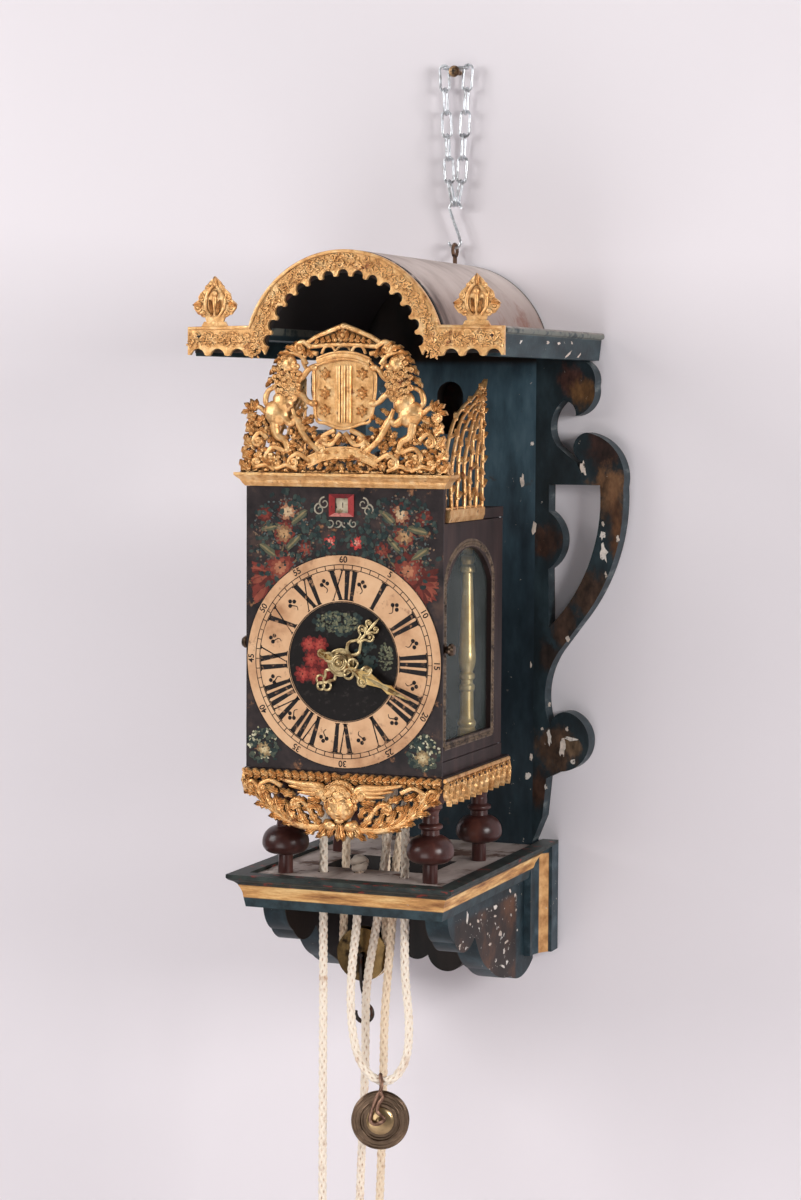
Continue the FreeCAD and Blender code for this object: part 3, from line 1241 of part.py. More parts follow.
def make_strike_rope():
    """From its knot in the case round the hanging pulley, up over the sprocket and down to its free end."""
    depth, axis = -d.strike_rope_y.value, d.axis_height.value
    big, small = d.strike_rope_radius.value, strike_pulley_rope().value
    px, pz = d.strike_pulley_x.value, d.strike_pulley_z.value
    span = math.hypot(px, axis - pz)
    ahead = (-px / span, (axis - pz) / span)
    lean = (small - big) / span
    square = math.sqrt(1 - lean ** 2)
    normal = (lean * ahead[0] - square * ahead[1], lean * ahead[1] + square * ahead[0])
    on_pulley = Vector(px + small * normal[0], depth, pz + small * normal[1])
    on_drum = Vector(big * normal[0], depth, axis + big * normal[1])
    slope = math.hypot(24, 214.5)
    leave = Vector(big * 214.5 / slope, depth, axis - big * 24 / slope)
    below = leave + Vector(-24 / slope, 0, -214.5 / slope) * 40
    knot = Vector(px + small, depth, -677)
    edges = [Part.LineSegment(knot, Vector(px + small, depth, pz)).toShape(),
             Part.Arc(Vector(px + small, depth, pz), Vector(px, depth, pz - small), on_pulley).toShape(),
             Part.LineSegment(on_pulley, on_drum).toShape(),
             Part.Arc(on_drum, Vector(0, depth, axis + big), leave).toShape()]
    points = [leave, below] + vectors([(18, -222, -806), (17, -223, -858), (11.5, -222, -915),
                                       (8, -222, -962),
                                       (7.5, -222, -1040), (5.5, -222, -1108), (3.5, -222, -1165)])
    bends = free_radii(points)
    edges += rounded_path(points, bends).Edges
    keep_rope("rope_strike", edges, [small, big] + bends)


def make_alarm_rope():
    """From the alarm drum down through the shelf to its free end."""
    side = 11.8
    depth, axis = -d.strike_rope_y.value, alarm_height().value
    points = vectors([(side, depth, axis), (side, depth - 1, axis - 26), (4, -216, -806), (0.5, -221, -858),
                      (-10, -222, -912), (-12, -222, -953), (-11.5, -222, -1000), (-15, -222, -1085),
                      (-18, -222, -1165)])
    bends = free_radii(points)
    keep_rope("rope_alarm", rounded_path(points, bends).Edges, bends)


def build():
    make_wall_screw()
    make_hook_and_eye(make_chain())
    make_backboard()
    make_wings()
    make_console()
    make_cheeks()
    make_hood()
    make_trim()
    make_finials()
    make_dial_plate()
    make_case()
    make_hinge_pins()
    make_cornice()
    make_frets()
    make_aprons()
    make_feet()
    make_doors()
    make_pillars()
    make_going_train()
    make_crown_wheel()
    make_verge()
    make_motion_work()
    make_hands()
    make_date_disc()
    make_striking_train()
    make_bars()
    make_alarm_drum()
    make_bell_and_hammer()
    make_strike_pulley()
    make_going_pulley()
    make_going_rope()
    make_strike_rope()
    make_alarm_rope()
    doc.recompute()


def check_and_export():
    for item in doc.Objects:
        if "Invalid" in item.State or "Error" in item.State:
            raise RuntimeError("%s did not build" % item.Label)
    os.makedirs("parts", exist_ok=True)
    for label, item in nodes.items():
        if item.Shape.isNull() or not item.Shape.isValid():
            raise RuntimeError("%s has no valid shape" % label)
        item.Shape.exportStep("parts/%s.step" % label)
    print("%d sub-parts written" % len(nodes))


build()
check_and_export()
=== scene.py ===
"""Bracket wall clock: the looks, built around the shared frame.

The frame is in metres: X to the right, Y into the wall, Z up, the wall at Y = 0 and the wall screw at
the origin. Shapes in this script are drawn in millimetres and scaled by MM when a piece is made.
"""

import math
import random

import bpy
from mathutils import Matrix, Vector


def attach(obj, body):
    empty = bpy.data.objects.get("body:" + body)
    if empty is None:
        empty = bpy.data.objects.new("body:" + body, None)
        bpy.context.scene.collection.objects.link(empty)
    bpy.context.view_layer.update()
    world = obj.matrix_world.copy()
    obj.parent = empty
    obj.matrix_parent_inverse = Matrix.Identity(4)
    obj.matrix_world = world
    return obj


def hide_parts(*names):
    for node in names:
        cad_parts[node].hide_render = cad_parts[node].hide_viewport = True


MM = 0.001
SEED = 7
GOLDEN_ANGLE = math.radians(137.5)

# The photograph's viewpoint: place in metres, lens and sensor in millimetres.
CAMERA_PLACE = (0.996, -2.7288, -0.3386)
CAMERA_AZIMUTH = math.radians(21.21)
CAMERA_PITCH = math.radians(4.23)
CAMERA_ROLL = math.radians(0.32)
CAMERA_LENS = 82.29
SENSOR_WIDTH = 36.0

WHITE = (1.0, 1.0, 1.0)
FULL_TURN = 2 * math.pi
# Painted marks start this far in front of the face they lie on, in millimetres.
PAINT_FOOT = 0.02

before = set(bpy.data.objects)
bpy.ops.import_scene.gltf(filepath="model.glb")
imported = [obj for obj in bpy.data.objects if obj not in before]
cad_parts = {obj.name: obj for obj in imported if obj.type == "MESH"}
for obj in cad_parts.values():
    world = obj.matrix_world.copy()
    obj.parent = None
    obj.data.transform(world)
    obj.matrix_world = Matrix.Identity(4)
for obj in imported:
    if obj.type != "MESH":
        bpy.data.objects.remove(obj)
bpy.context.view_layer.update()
rng = random.Random(SEED)


def tone(red, green, blue):
    """A colour given as it looks on a screen, 0 to 255, as linear light."""

    def linear(channel):
        share = channel / 255
        if share <= 0.04045:
            return share / 12.92
        return ((share + 0.055) / 1.055) ** 2.4

    return (linear(red), linear(green), linear(blue))


# Camera, light and stage


def make_camera():
    """The photograph's viewpoint."""
    right = Vector((math.cos(CAMERA_AZIMUTH), math.sin(CAMERA_AZIMUTH), 0))
    level = math.cos(CAMERA_PITCH)
    aside = -math.sin(CAMERA_AZIMUTH) * level
    ahead = math.cos(CAMERA_AZIMUTH) * level
    forward = Vector((aside, ahead, -math.sin(CAMERA_PITCH)))
    up = right.cross(forward)
    rolled_right = math.cos(CAMERA_ROLL) * right + math.sin(CAMERA_ROLL) * up
    rolled_up = math.cos(CAMERA_ROLL) * up - math.sin(CAMERA_ROLL) * right
    turn = Matrix((rolled_right, rolled_up, -forward)).transposed().to_4x4()
    data = bpy.data.cameras.new("camera")
    data.sensor_width = SENSOR_WIDTH
    data.lens = CAMERA_LENS
    camera = bpy.data.objects.new("camera", data)
    camera.matrix_world = Matrix.Translation(CAMERA_PLACE) @ turn
    bpy.context.scene.collection.objects.link(camera)
    bpy.context.scene.camera = camera


CLOCK_MIDDLE = (0, -0.15, -0.6)
# Place and size in metres, and power in watts.
LAMPS = {
    "left_box": ((-2.0, -1.8, 0.35), 1.3, 37),
    "right_box": ((2.8, -1.6, 0.0), 1.0, 58),
    "top_box": ((-0.5, -1.8, 2.0), 1.3, 15),
    "low_box": ((-0.2, -2.3, -1.4), 1.2, 14),
    "back_box": ((0.2, 2.4, 0.5), 1.4, 18),
}
SKY_COLOUR = (0.93, 0.92, 0.94, 1)
SKY_STRENGTH = 0.09


def make_lamp(name, place, size, power):
    """A square soft box at place, aimed at the middle of the clock."""
    data = bpy.data.lights.new(name, "AREA")
    data.size = size
    data.energy = power
    lamp = bpy.data.objects.new(name, data)
    aim = Vector(CLOCK_MIDDLE) - Vector(place)
    lamp.matrix_world = Matrix.Translation(place) @ aim.to_track_quat("-Z", "Y").to_matrix().to_4x4()
    bpy.context.scene.collection.objects.link(lamp)


def make_light():
    """The soft boxes, a weak even sky and the plain view transform."""
    for name, lamp in LAMPS.items():
        make_lamp(name, *lamp)
    world = bpy.data.worlds.new("studio")
    world.use_nodes = True
    sky = world.node_tree.nodes["Background"]
    sky.inputs["Color"].default_value = SKY_COLOUR
    sky.inputs["Strength"].default_value = SKY_STRENGTH
    bpy.context.scene.world = world
    bpy.context.scene.view_settings.view_transform = "Standard"


WALL_HALF = 3.0
WALL_GAP = 0.001
FLOOR_HALF = 4.0
FLOOR_HEIGHT = -2.3


def stage_plane(name, corners, material, shades=True):
    """A flat piece of the stage. Without shades, lamps behind it shine through."""
    mesh = bpy.data.meshes.new(name)
    mesh.from_pydata(corners, [], [(0, 1, 2, 3)])
    mesh.materials.append(material)
    plane = bpy.data.objects.new(name, mesh)
    plane.visible_shadow = shades
    bpy.context.scene.collection.objects.link(plane)


def wall_material():
    """Pale plaster that is only there from the front, so that the back of the clock can be seen."""
    paint = Finish("wall_plaster", roughness=0.9)
    paint.colour(paint.tones(paint.noise(1.2, 2), (0.3, 233, 226, 230), (0.7, 240, 233, 237)))
    clear = paint.add("ShaderNodeBsdfTransparent")
    side = paint.add("ShaderNodeNewGeometry")
    mix = paint.add("ShaderNodeMixShader")
    paint.link(side.outputs["Backfacing"], mix.inputs[0])
    paint.link(paint.shader.outputs[0], mix.inputs[1])
    paint.link(clear.outputs[0], mix.inputs[2])
    paint.link(mix.outputs[0], paint.output.inputs["Surface"])
    return paint.material


def make_stage():
    """The wall behind the clock and the floor below it."""
    wall = []
    floor = []
    for right, far in ((-1, -1), (1, -1), (1, 1), (-1, 1)):
        wall.append((right * WALL_HALF, WALL_GAP, WALL_HALF if far > 0 else FLOOR_HEIGHT))
        floor.append((right * FLOOR_HALF, far * FLOOR_HALF, FLOOR_HEIGHT))
    stage_plane("wall", wall, wall_material(), shades=False)
    paint = Finish("floor_paint", roughness=0.9)
    paint.colour(paint.tones(paint.noise(1.0, 2), (0.3, 226, 220, 223), (0.7, 232, 226, 229)))
    stage_plane("floor", floor, paint.material)


# Finishes


class Finish:
    """One procedural material: a principled shader with helpers that add its colour and relief nodes."""

    def __init__(self, name, roughness=0.6, metallic=0.0, gloss=0.5):
        self.material = bpy.data.materials.new(name)
        self.material.use_nodes = True
        self.tree = self.material.node_tree
        self.shader = self.tree.nodes["Principled BSDF"]
        self.output = self.tree.nodes["Material Output"]
        self.shader.inputs["Roughness"].default_value = roughness
        self.shader.inputs["Metallic"].default_value = metallic
        self.shader.inputs["Specular IOR Level"].default_value = gloss
        self.place = self.add("ShaderNodeTexCoord").outputs["Object"]

    def add(self, kind, **settings):
        """A new node of a kind."""
        node = self.tree.nodes.new(kind)
        for key, value in settings.items():
            setattr(node, key, value)
        return node

    def link(self, source, target):
        """Join an output socket to an input socket."""
        self.tree.links.new(source, target)

    def feed(self, value, socket):
        """Link a socket, or set a plain number or colour."""
        if isinstance(value, bpy.types.NodeSocket):
            self.link(value, socket)
        elif isinstance(value, tuple) and socket.type == "RGBA":
            socket.default_value = (*value, 1)
        else:
            socket.default_value = value

    def stretched(self, scale):
        """Object coordinates multiplied by scale along each axis."""
        mapping = self.add("ShaderNodeMapping")
        self.link(self.place, mapping.inputs["Vector"])
        mapping.inputs["Scale"].default_value = scale
        return mapping.outputs["Vector"]

    def noise(self, scale, detail=4.0, stretch=None, rough=0.6, shift=0.0):
        """A cloudy value, 0 to 1. Another shift gives other clouds."""
        node = self.add("ShaderNodeTexNoise")
        node.noise_dimensions = "4D"
        self.link(self.stretched(stretch) if stretch else self.place, node.inputs["Vector"])
        node.inputs["Scale"].default_value = scale
        node.inputs["Detail"].default_value = detail
        node.inputs["Roughness"].default_value = rough
        node.inputs["W"].default_value = shift
        return node.outputs["Fac"]

    def axis(self, name):
        """The place along an axis of the frame, in metres."""
        split = self.add("ShaderNodeSeparateXYZ")
        self.link(self.place, split.inputs[0])
        return split.outputs[name]

    def facing(self, axis):
        """How far the surface faces along an axis, -1 to 1."""
        split = self.add("ShaderNodeSeparateXYZ")
        self.link(self.add("ShaderNodeNewGeometry").outputs["Normal"], split.inputs[0])
        return split.outputs[axis]

    def away(self, axis):
        """Distance to either side of the middle plane across an axis."""
        return self.math("ABSOLUTE", self.axis(axis))

    def tint(self):
        """The colour that a piece keeps at each of its points."""
        return self.add("ShaderNodeAttribute", attribute_name="tint").outputs["Color"]

    def hollow(self, distance):
        """0 deep in a crevice, 1 on open ground."""
        node = self.add("ShaderNodeAmbientOcclusion", samples=4)
        node.inputs["Distance"].default_value = distance
        return node.outputs["AO"]

    def math(self, operation, first, second=0.0):
        """The result of a sum, held between 0 and 1."""
        node = self.add("ShaderNodeMath", operation=operation, use_clamp=True)
        self.feed(first, node.inputs[0])
        self.feed(second, node.inputs[1])
        return node.outputs[0]

    def inverse(self, value):
        """1 less a value."""
        return self.math("SUBTRACT", 1.0, value)

    def ramp(self, value, stops):
        """A colour that changes with a value, from stops of (place, colour)."""
        node = self.add("ShaderNodeValToRGB")
        self.feed(value, node.inputs[0])
        steps = node.color_ramp.elements
        while len(steps) < len(stops):
            steps.new(0.5)
        for step, (place, colour) in zip(steps, stops):
            step.position = place
            step.color = (*colour, 1)
        return node.outputs["Color"]

    def tones(self, value, *stops):
        """A ramp through screen colours: a stop is its place, then red, green and blue, 0 to 255."""
        return self.ramp(value, [(place, tone(*screen)) for place, *screen in stops])

    def step(self, value, edge, soft):
        """0 below edge and 1 above it, with a soft change."""
        node = self.add("ShaderNodeMapRange", interpolation_type="SMOOTHSTEP")
        self.feed(value, node.inputs["Value"])
        node.inputs["From Min"].default_value = edge - soft
        node.inputs["From Max"].default_value = edge + soft
        return node.outputs["Result"]

    def between(self, value, low, high, soft):
        """1 from low to high and 0 elsewhere, with soft changes."""
        above = self.step(value, low, soft)
        below = self.inverse(self.step(value, high, soft))
        return self.math("MULTIPLY", above, below)

    def mix(self, factor, first, second, mode="MIX"):
        """The first colour where factor is 0, the second where it is 1."""
        node = self.add("ShaderNodeMix", data_type="RGBA", blend_type=mode)
        # A mix node's colours are its inputs 6 and 7 and its output 2.
        self.feed(factor, node.inputs[0])
        self.feed(first, node.inputs[6])
        self.feed(second, node.inputs[7])
        return node.outputs[2]

    def spots(self, base, colour, scale, edge, soft=0.03, within=None, stretch=None, shift=3.0):
        """Patches of another colour where a noise rises over edge."""
        share = self.step(self.noise(scale, 5, stretch, 0.65, shift), edge, soft)
        if within is not None:
            share = self.math("MULTIPLY", share, within)
        return self.mix(share, base, colour)

    def blob(self, x, z, wide, tall):
        """1 inside an uneven oval on both wings, in millimetres to the right of and below the screw."""
        ragged = 3.0
        rim = 2.4
        folded = self.add("ShaderNodeVectorMath", operation="ABSOLUTE")
        self.link(self.place, folded.inputs[0])
        spot = self.add("ShaderNodeMapping")
        self.link(folded.outputs[0], spot.inputs["Vector"])
        spot.inputs["Scale"].default_value = (1 / (wide * MM), 0, 1 / (tall * MM))
        spot.inputs["Location"].default_value = (-x / wide, 0, z / tall)
        reach = self.add("ShaderNodeVectorMath", operation="LENGTH")
        self.link(spot.outputs["Vector"], reach.inputs[0])
        uneven = self.add("ShaderNodeMath", operation="MULTIPLY_ADD")
        self.link(self.noise(80, 6, (1, 1, 0.6), 0.7, 11.0), uneven.inputs[0])
        uneven.inputs[1].default_value = ragged
        self.link(reach.outputs["Value"], uneven.inputs[2])
        return self.inverse(self.step(uneven.outputs[0], rim, 0.4))

    def colour(self, value):
        """The surface's own colour."""
        self.feed(value, self.shader.inputs["Base Color"])

    def relief(self, height, strength, distance):
        """Fine bumps from a height value."""
        node = self.add("ShaderNodeBump")
        node.inputs["Strength"].default_value = strength
        node.inputs["Distance"].default_value = distance
        self.feed(height, node.inputs["Height"])
        self.link(node.outputs["Normal"], self.shader.inputs["Normal"])

    def done(self, colour, height, strength, distance):
        """The material, with its colour and its relief."""
        self.colour(colour)
        self.relief(height, strength, distance)
        return self.material


def gilt_finish():
    """Old gilding: warm gold with a broken shine, brown in the hollows, with a fine cast grain."""
    paint = Finish("gilt", roughness=0.3, metallic=0.7)
    base = paint.tones(paint.noise(120, 5), (0.3, 196, 136, 78), (0.5, 236, 182, 120), (0.75, 255, 222, 168))
    base = paint.spots(base, tone(150, 88, 56), 70, 0.64, 0.05)
    hollow = paint.hollow(0.006)
    base = paint.mix(paint.step(hollow, 0.4, 0.3), tone(62, 34, 20), base)
    return paint.done(base, paint.noise(360, 5), 0.6, 0.0014)


CREAM = tone(216, 203, 190)


def teal_ground(paint):
    """Blue-green oil paint, painted paler towards the top as painted light, as if the upper board were more
    strongly lit.
    """
    grain = paint.noise(24, 6, (1.6, 1, 0.5))
    low = paint.tones(grain, (0.3, 17, 25, 30), (0.5, 30, 42, 49), (0.72, 46, 62, 70))
    high = paint.tones(grain, (0.3, 36, 52, 62), (0.5, 64, 88, 100), (0.72, 92, 116, 128))
    # Painted light: the upper board takes the paler tones.
    return paint.mix(paint.step(paint.axis("Z"), -0.46, 0.17), low, high)


def bare_back(paint, base):
    """Leave the faces against the wall as unpainted wood."""
    grain = paint.noise(34, 6, (1.8, 1, 0.18))
    wood = paint.tones(grain, (0.3, 62, 46, 35), (0.52, 96, 75, 58), (0.74, 128, 104, 82))
    return paint.mix(paint.step(paint.facing("Y"), 0.6, 0.2), base, wood)


def board_finish():
    """Backboard: blue-green paint flaked along its seams, with painted shade, near black, in the slot, inside
    the hood and below the shelf.
    """
    paint = Finish("teal_board", roughness=0.5, gloss=0.3)
    base = teal_ground(paint)
    base = paint.spots(base, tone(60, 46, 40), 30, 0.67, 0.05, shift=8.0)
    base = paint.spots(base, CREAM, 150, 0.72, 0.012, shift=5.0)
    seam = paint.between(paint.away("X"), 0.072, 0.11, 0.014)
    base = paint.spots(base, CREAM, 110, 0.675, 0.012, seam, shift=12.0)
    # Painted shade: the slot's inner faces are marked for near black.
    beside = paint.inverse(paint.step(paint.away("X"), 0.0152, 0.0002))
    tall = paint.between(paint.axis("Z"), -0.379, -0.321, 0.0002)
    deep = paint.step(paint.axis("Y"), -0.0215, 0.0003)
    slot = paint.math("MULTIPLY", paint.math("MULTIPLY", beside, tall), deep)
    # The band between the hood and the shelf keeps its colours; above and below it the board is given painted
    # shade.
    painted = paint.between(paint.axis("Z"), -0.812, -0.303, 0.004)
    shaded_ends = paint.inverse(painted)
    # Near-black painted shade for the slot, inside the hood and below the shelf.
    painted_shade = paint.tones(paint.noise(40, 5, (1, 1, 0.3)), (0.35, 16, 12, 11), (0.65, 42, 31, 26))
    base = paint.mix(paint.math("MAXIMUM", slot, shaded_ends), base, painted_shade)
    return paint.done(bare_back(paint, base), paint.noise(160, 5), 0.25, 0.0008)


PATCH_SHADE = 0.6
# Patches on a wing: X and Z of the middle, half width and half height in millimetres, colour.
WING_PATCHES = (
    (133, -320, 13, 16, tone(96, 62, 54)),
    (147, -333, 14, 14, tone(128, 90, 54)),
    (170, -388, 20, 24, tone(64, 42, 37)),
    (176, -432, 19, 24, tone(134, 96, 66)),
    (183, -470, 9, 30, tone(112, 74, 48)),
    (106, -486, 16, 17, tone(74, 48, 36)),
    (152, -538, 22, 24, tone(92, 68, 54)),
    (127, -576, 14, 24, tone(84, 62, 50)),
    (114, -606, 12, 20, tone(56, 44, 39)),
    (120, -706, 22, 26, tone(102, 76, 58)),
    (136, -701, 11, 9, tone(146, 116, 88)),
    (104, -745, 12, 22, tone(84, 57, 44)),
)


def wing_finish():
    """Pierced wings: near-black blue-green, a few soft brown leaf patches, arrises rubbed pale."""
    paint = Finish("wing_paint", roughness=0.5, gloss=0.25)
    grain = paint.noise(30, 6, (1.4, 1, 0.6))
    base = paint.tones(grain, (0.3, 15, 22, 25), (0.5, 27, 38, 43), (0.74, 46, 62, 68))
    brushed = paint.noise(110, 5, (1.0, 1.0, 0.5), shift=2.0)
    streaks = paint.ramp(brushed, [(0.34, (0.3,) * 3), (0.5, (0.85,) * 3), (0.66, (1.5,) * 3)])
    for x, z, wide, tall, colour in WING_PATCHES:
        brush = paint.mix(1.0, tuple(PATCH_SHADE * share for share in colour), streaks, "MULTIPLY")
        base = paint.mix(paint.blob(x, z, wide, tall), base, brush)
    facing = paint.math("MULTIPLY", paint.facing("Y"), -1.0)
    arris = paint.between(facing, 0.2, 0.93, 0.05)
    worn = paint.math("MULTIPLY", arris, paint.step(paint.noise(60, 5), 0.42, 0.1))
    base = paint.mix(worn, base, tone(190, 186, 178))
    edge = paint.inverse(paint.step(facing, 0.15, 0.08))
    scratches = paint.noise(90, 6, (1, 0.3, 1))
    scratched = paint.tones(scratches, (0.35, 24, 35, 40), (0.55, 44, 58, 64), (0.72, 120, 126, 124))
    base = paint.mix(edge, base, scratched)
    base = paint.spots(base, CREAM, 170, 0.7, 0.012, shift=15.0)
    return paint.done(bare_back(paint, base), paint.noise(160, 5), 0.3, 0.0008)


def eave_finish():
    """Eaves: blue-green rubbed pale along the lip, grey dust on what faces up."""
    paint = Finish("eave_paint", roughness=0.5, gloss=0.25)
    grain = paint.noise(40, 6, (1, 0.4, 1))
    base = paint.tones(grain, (0.3, 22, 33, 38), (0.5, 40, 57, 63), (0.75, 70, 90, 94))
    lip = paint.step(paint.axis("Z"), -0.279, 0.001)
    rubbed = paint.math("MULTIPLY", lip, paint.step(paint.noise(70, 5), 0.46, 0.08))
    base = paint.mix(rubbed, base, tone(112, 114, 106))
    base = paint.spots(base, CREAM, 150, 0.69, 0.012, shift=5.0)
    dust = paint.tones(paint.noise(60, 5), (0.35, 104, 98, 92), (0.65, 160, 150, 142))
    base = paint.mix(paint.step(paint.facing("Z"), 0.45, 0.2), base, dust)
    return paint.done(base, paint.noise(160, 5), 0.25, 0.0008)


def cheek_finish():
    """Console cheeks: blue-green outside round a dark brown panel, painted shade on the inner faces, white
    flakes.
    """
    paint = Finish("cheek_paint", roughness=0.5, gloss=0.25)
    base = paint.tones(paint.noise(36, 6), (0.3, 14, 22, 26), (0.5, 27, 42, 48), (0.75, 54, 75, 82))
    stain = paint.noise(44, 5, (1, 0.6, 0.6), shift=4.0)
    brown = paint.tones(stain, (0.3, 18, 15, 14), (0.5, 44, 32, 27), (0.72, 98, 64, 44))
    side = paint.step(paint.math("ABSOLUTE", paint.facing("X")), 0.8, 0.1)
    along = paint.between(paint.axis("Y"), -0.262, -0.078, 0.004)
    tall = paint.between(paint.axis("Z"), -0.960, -0.848, 0.004)
    panel = paint.math("MULTIPLY", side, paint.math("MULTIPLY", along, tall))
    base = paint.mix(panel, base, brown)
    base = paint.spots(base, tone(226, 220, 212), 120, 0.64, 0.012, panel, shift=5.0)
    base = paint.spots(base, tone(226, 220, 212), 190, 0.68, 0.012, shift=16.0)
    # Painted shade: the inner faces between the cheeks are darkened to near black.
    inside = paint.inverse(paint.step(paint.away("X"), 0.0738, 0.0003))
    return paint.done(paint.mix(inside, base, tone(30, 22, 19)), paint.noise(160, 5), 0.3, 0.0008)


def sheet_finish():
    """The hood's bent sheet: grey dust, browner down the sides, black at its torn rims, a painted fold shadow
    near the front, and dark red-brown underneath deepened to near black as painted shade.
    """
    paint = Finish("dusty_sheet", roughness=0.85)
    along = paint.axis("Y")
    low = paint.inverse(paint.step(paint.axis("Z"), -0.238, 0.03))
    dust = paint.tones(paint.noise(8, 5), (0.3, 166, 151, 144), (0.5, 200, 184, 177), (0.72, 218, 205, 198))
    smudge = paint.step(paint.noise(15, 4, (1.0, 1.5, 0.8), shift=2.0), 0.55, 0.12)
    dust = paint.mix(paint.math("MULTIPLY", smudge, 0.5), dust, tone(140, 122, 114))
    dust = paint.mix(paint.math("MULTIPLY", low, 0.7), dust, tone(128, 104, 96))
    # Painted shadow of the fold, low down along the front of the sheet.
    fold_shadow = paint.math("MULTIPLY", paint.between(along, -0.302, -0.272, 0.014), low)
    dust = paint.spots(dust, tone(84, 66, 60), 20, 0.44, 0.12, fold_shadow, (1, 1, 0.4))
    dust = paint.spots(dust, tone(134, 92, 80), 24, 0.6, 0.08, low, shift=9.0)
    rim = paint.inverse(paint.between(along, -0.3055, -0.0035, 0.003))
    dust = paint.spots(dust, tone(24, 20, 20), 70, 0.42, 0.05, rim)
    # Underneath: dark red-brown inside the hood, deepened to near black as painted shade.
    body = paint.mix(paint.step(paint.facing("Z"), -0.02, 0.02), tone(24, 15, 14), dust)
    return paint.done(body, paint.noise(90, 5), 0.25, 0.001)


def moulding_finish():
    """Console moulding: dark green fillet rubbed red, an orange-gold cove, blue-green below."""
    paint = Finish("moulding_paint", roughness=0.5, gloss=0.25)
    height = paint.axis("Z")
    dark = paint.tones(paint.noise(60, 5), (0.35, 24, 28, 26), (0.65, 54, 62, 58))
    dark = paint.spots(dark, tone(128, 44, 34), 55, 0.6, 0.03, stretch=(1, 1, 3))
    streaks = paint.noise(90, 6, (0.2, 0.2, 1.6), 0.7)
    gold = paint.tones(streaks, (0.34, 128, 80, 44), (0.5, 206, 152, 92), (0.66, 250, 214, 150))
    blue = paint.tones(paint.noise(60, 5), (0.35, 26, 38, 42), (0.65, 52, 70, 76))
    low_part = paint.mix(paint.step(height, -0.8262, 0.0006), blue, gold)
    body = paint.mix(paint.step(height, -0.8135, 0.0006), low_part, dark)
    body = paint.spots(body, tone(196, 178, 156), 110, 0.72, 0.015, shift=9.0)
    return paint.done(body, paint.noise(200, 4), 0.2, 0.0006)


def return_finish():
    """The upright mouldings beside the backboard: a gold strip in the cove between blue-green edges."""
    paint = Finish("return_paint", roughness=0.45, gloss=0.3)
    gold = paint.tones(paint.noise(80, 5), (0.3, 158, 104, 56), (0.55, 214, 162, 106), (0.75, 236, 194, 138))
    blue = paint.tones(paint.noise(60, 5), (0.32, 26, 38, 44), (0.55, 46, 64, 72), (0.75, 84, 100, 108))
    strip = paint.between(paint.away("X"), 0.1066, 0.1134, 0.0003)
    below = paint.inverse(paint.step(paint.axis("Z"), -0.8135, 0.0006))
    ahead = paint.inverse(paint.step(paint.axis("Y"), -0.0208, 0.0004))
    body = paint.mix(paint.math("MULTIPLY", paint.math("MULTIPLY", strip, below), ahead), blue, gold)
    body = paint.spots(body, tone(72, 44, 36), 70, 0.68, 0.03)
    body = paint.spots(body, CREAM, 150, 0.68, 0.012, shift=6.0)
    return paint.done(body, paint.noise(200, 4), 0.2, 0.0006)


def shelf_finish():
    """Shelf board: grey dust over brown wood, rubbed brown in patches, and painted shade, near black, on its
    upright faces, such as those in its openings.
    """
    paint = Finish("shelf_wood", roughness=0.8)
    grain = paint.noise(26, 6, (1, 0.4, 1))
    base = paint.tones(grain, (0.3, 130, 114, 106), (0.5, 184, 168, 160), (0.75, 214, 203, 196))
    base = paint.spots(base, tone(92, 64, 50), 24, 0.57, 0.06)
    base = paint.spots(base, tone(204, 196, 192), 80, 0.68, 0.03, shift=6.0)
    # Painted shade: upright faces, such as the openings' walls, are darkened to near black.
    upright = paint.inverse(paint.step(paint.math("ABSOLUTE", paint.facing("Z")), 0.5, 0.2))
    base = paint.mix(upright, base, tone(22, 16, 14))
    return paint.done(base, paint.noise(240, 5, (1, 0.3, 1)), 0.25, 0.0006)


def case_finish():
    """Case wood: dark purple-brown with a dull polish."""
    paint = Finish("case_wood", roughness=0.5, gloss=0.25)
    grain = paint.noise(40, 6, (1, 1, 0.18))
    base = paint.tones(grain, (0.3, 27, 18, 18), (0.55, 50, 36, 35), (0.75, 80, 60, 54))
    return paint.done(base, paint.noise(300, 4, (1, 1, 0.15)), 0.2, 0.0005)


def foot_finish():
    """Turned feet: red-brown polished wood."""
    paint = Finish("foot_wood", roughness=0.3, gloss=0.4)
    grain = paint.noise(50, 6, (1, 1, 0.25))
    base = paint.tones(grain, (0.3, 38, 19, 18), (0.55, 74, 42, 38), (0.78, 112, 68, 56))
    return paint.done(base, paint.noise(400, 4, (1, 1, 0.2)), 0.12, 0.0004)


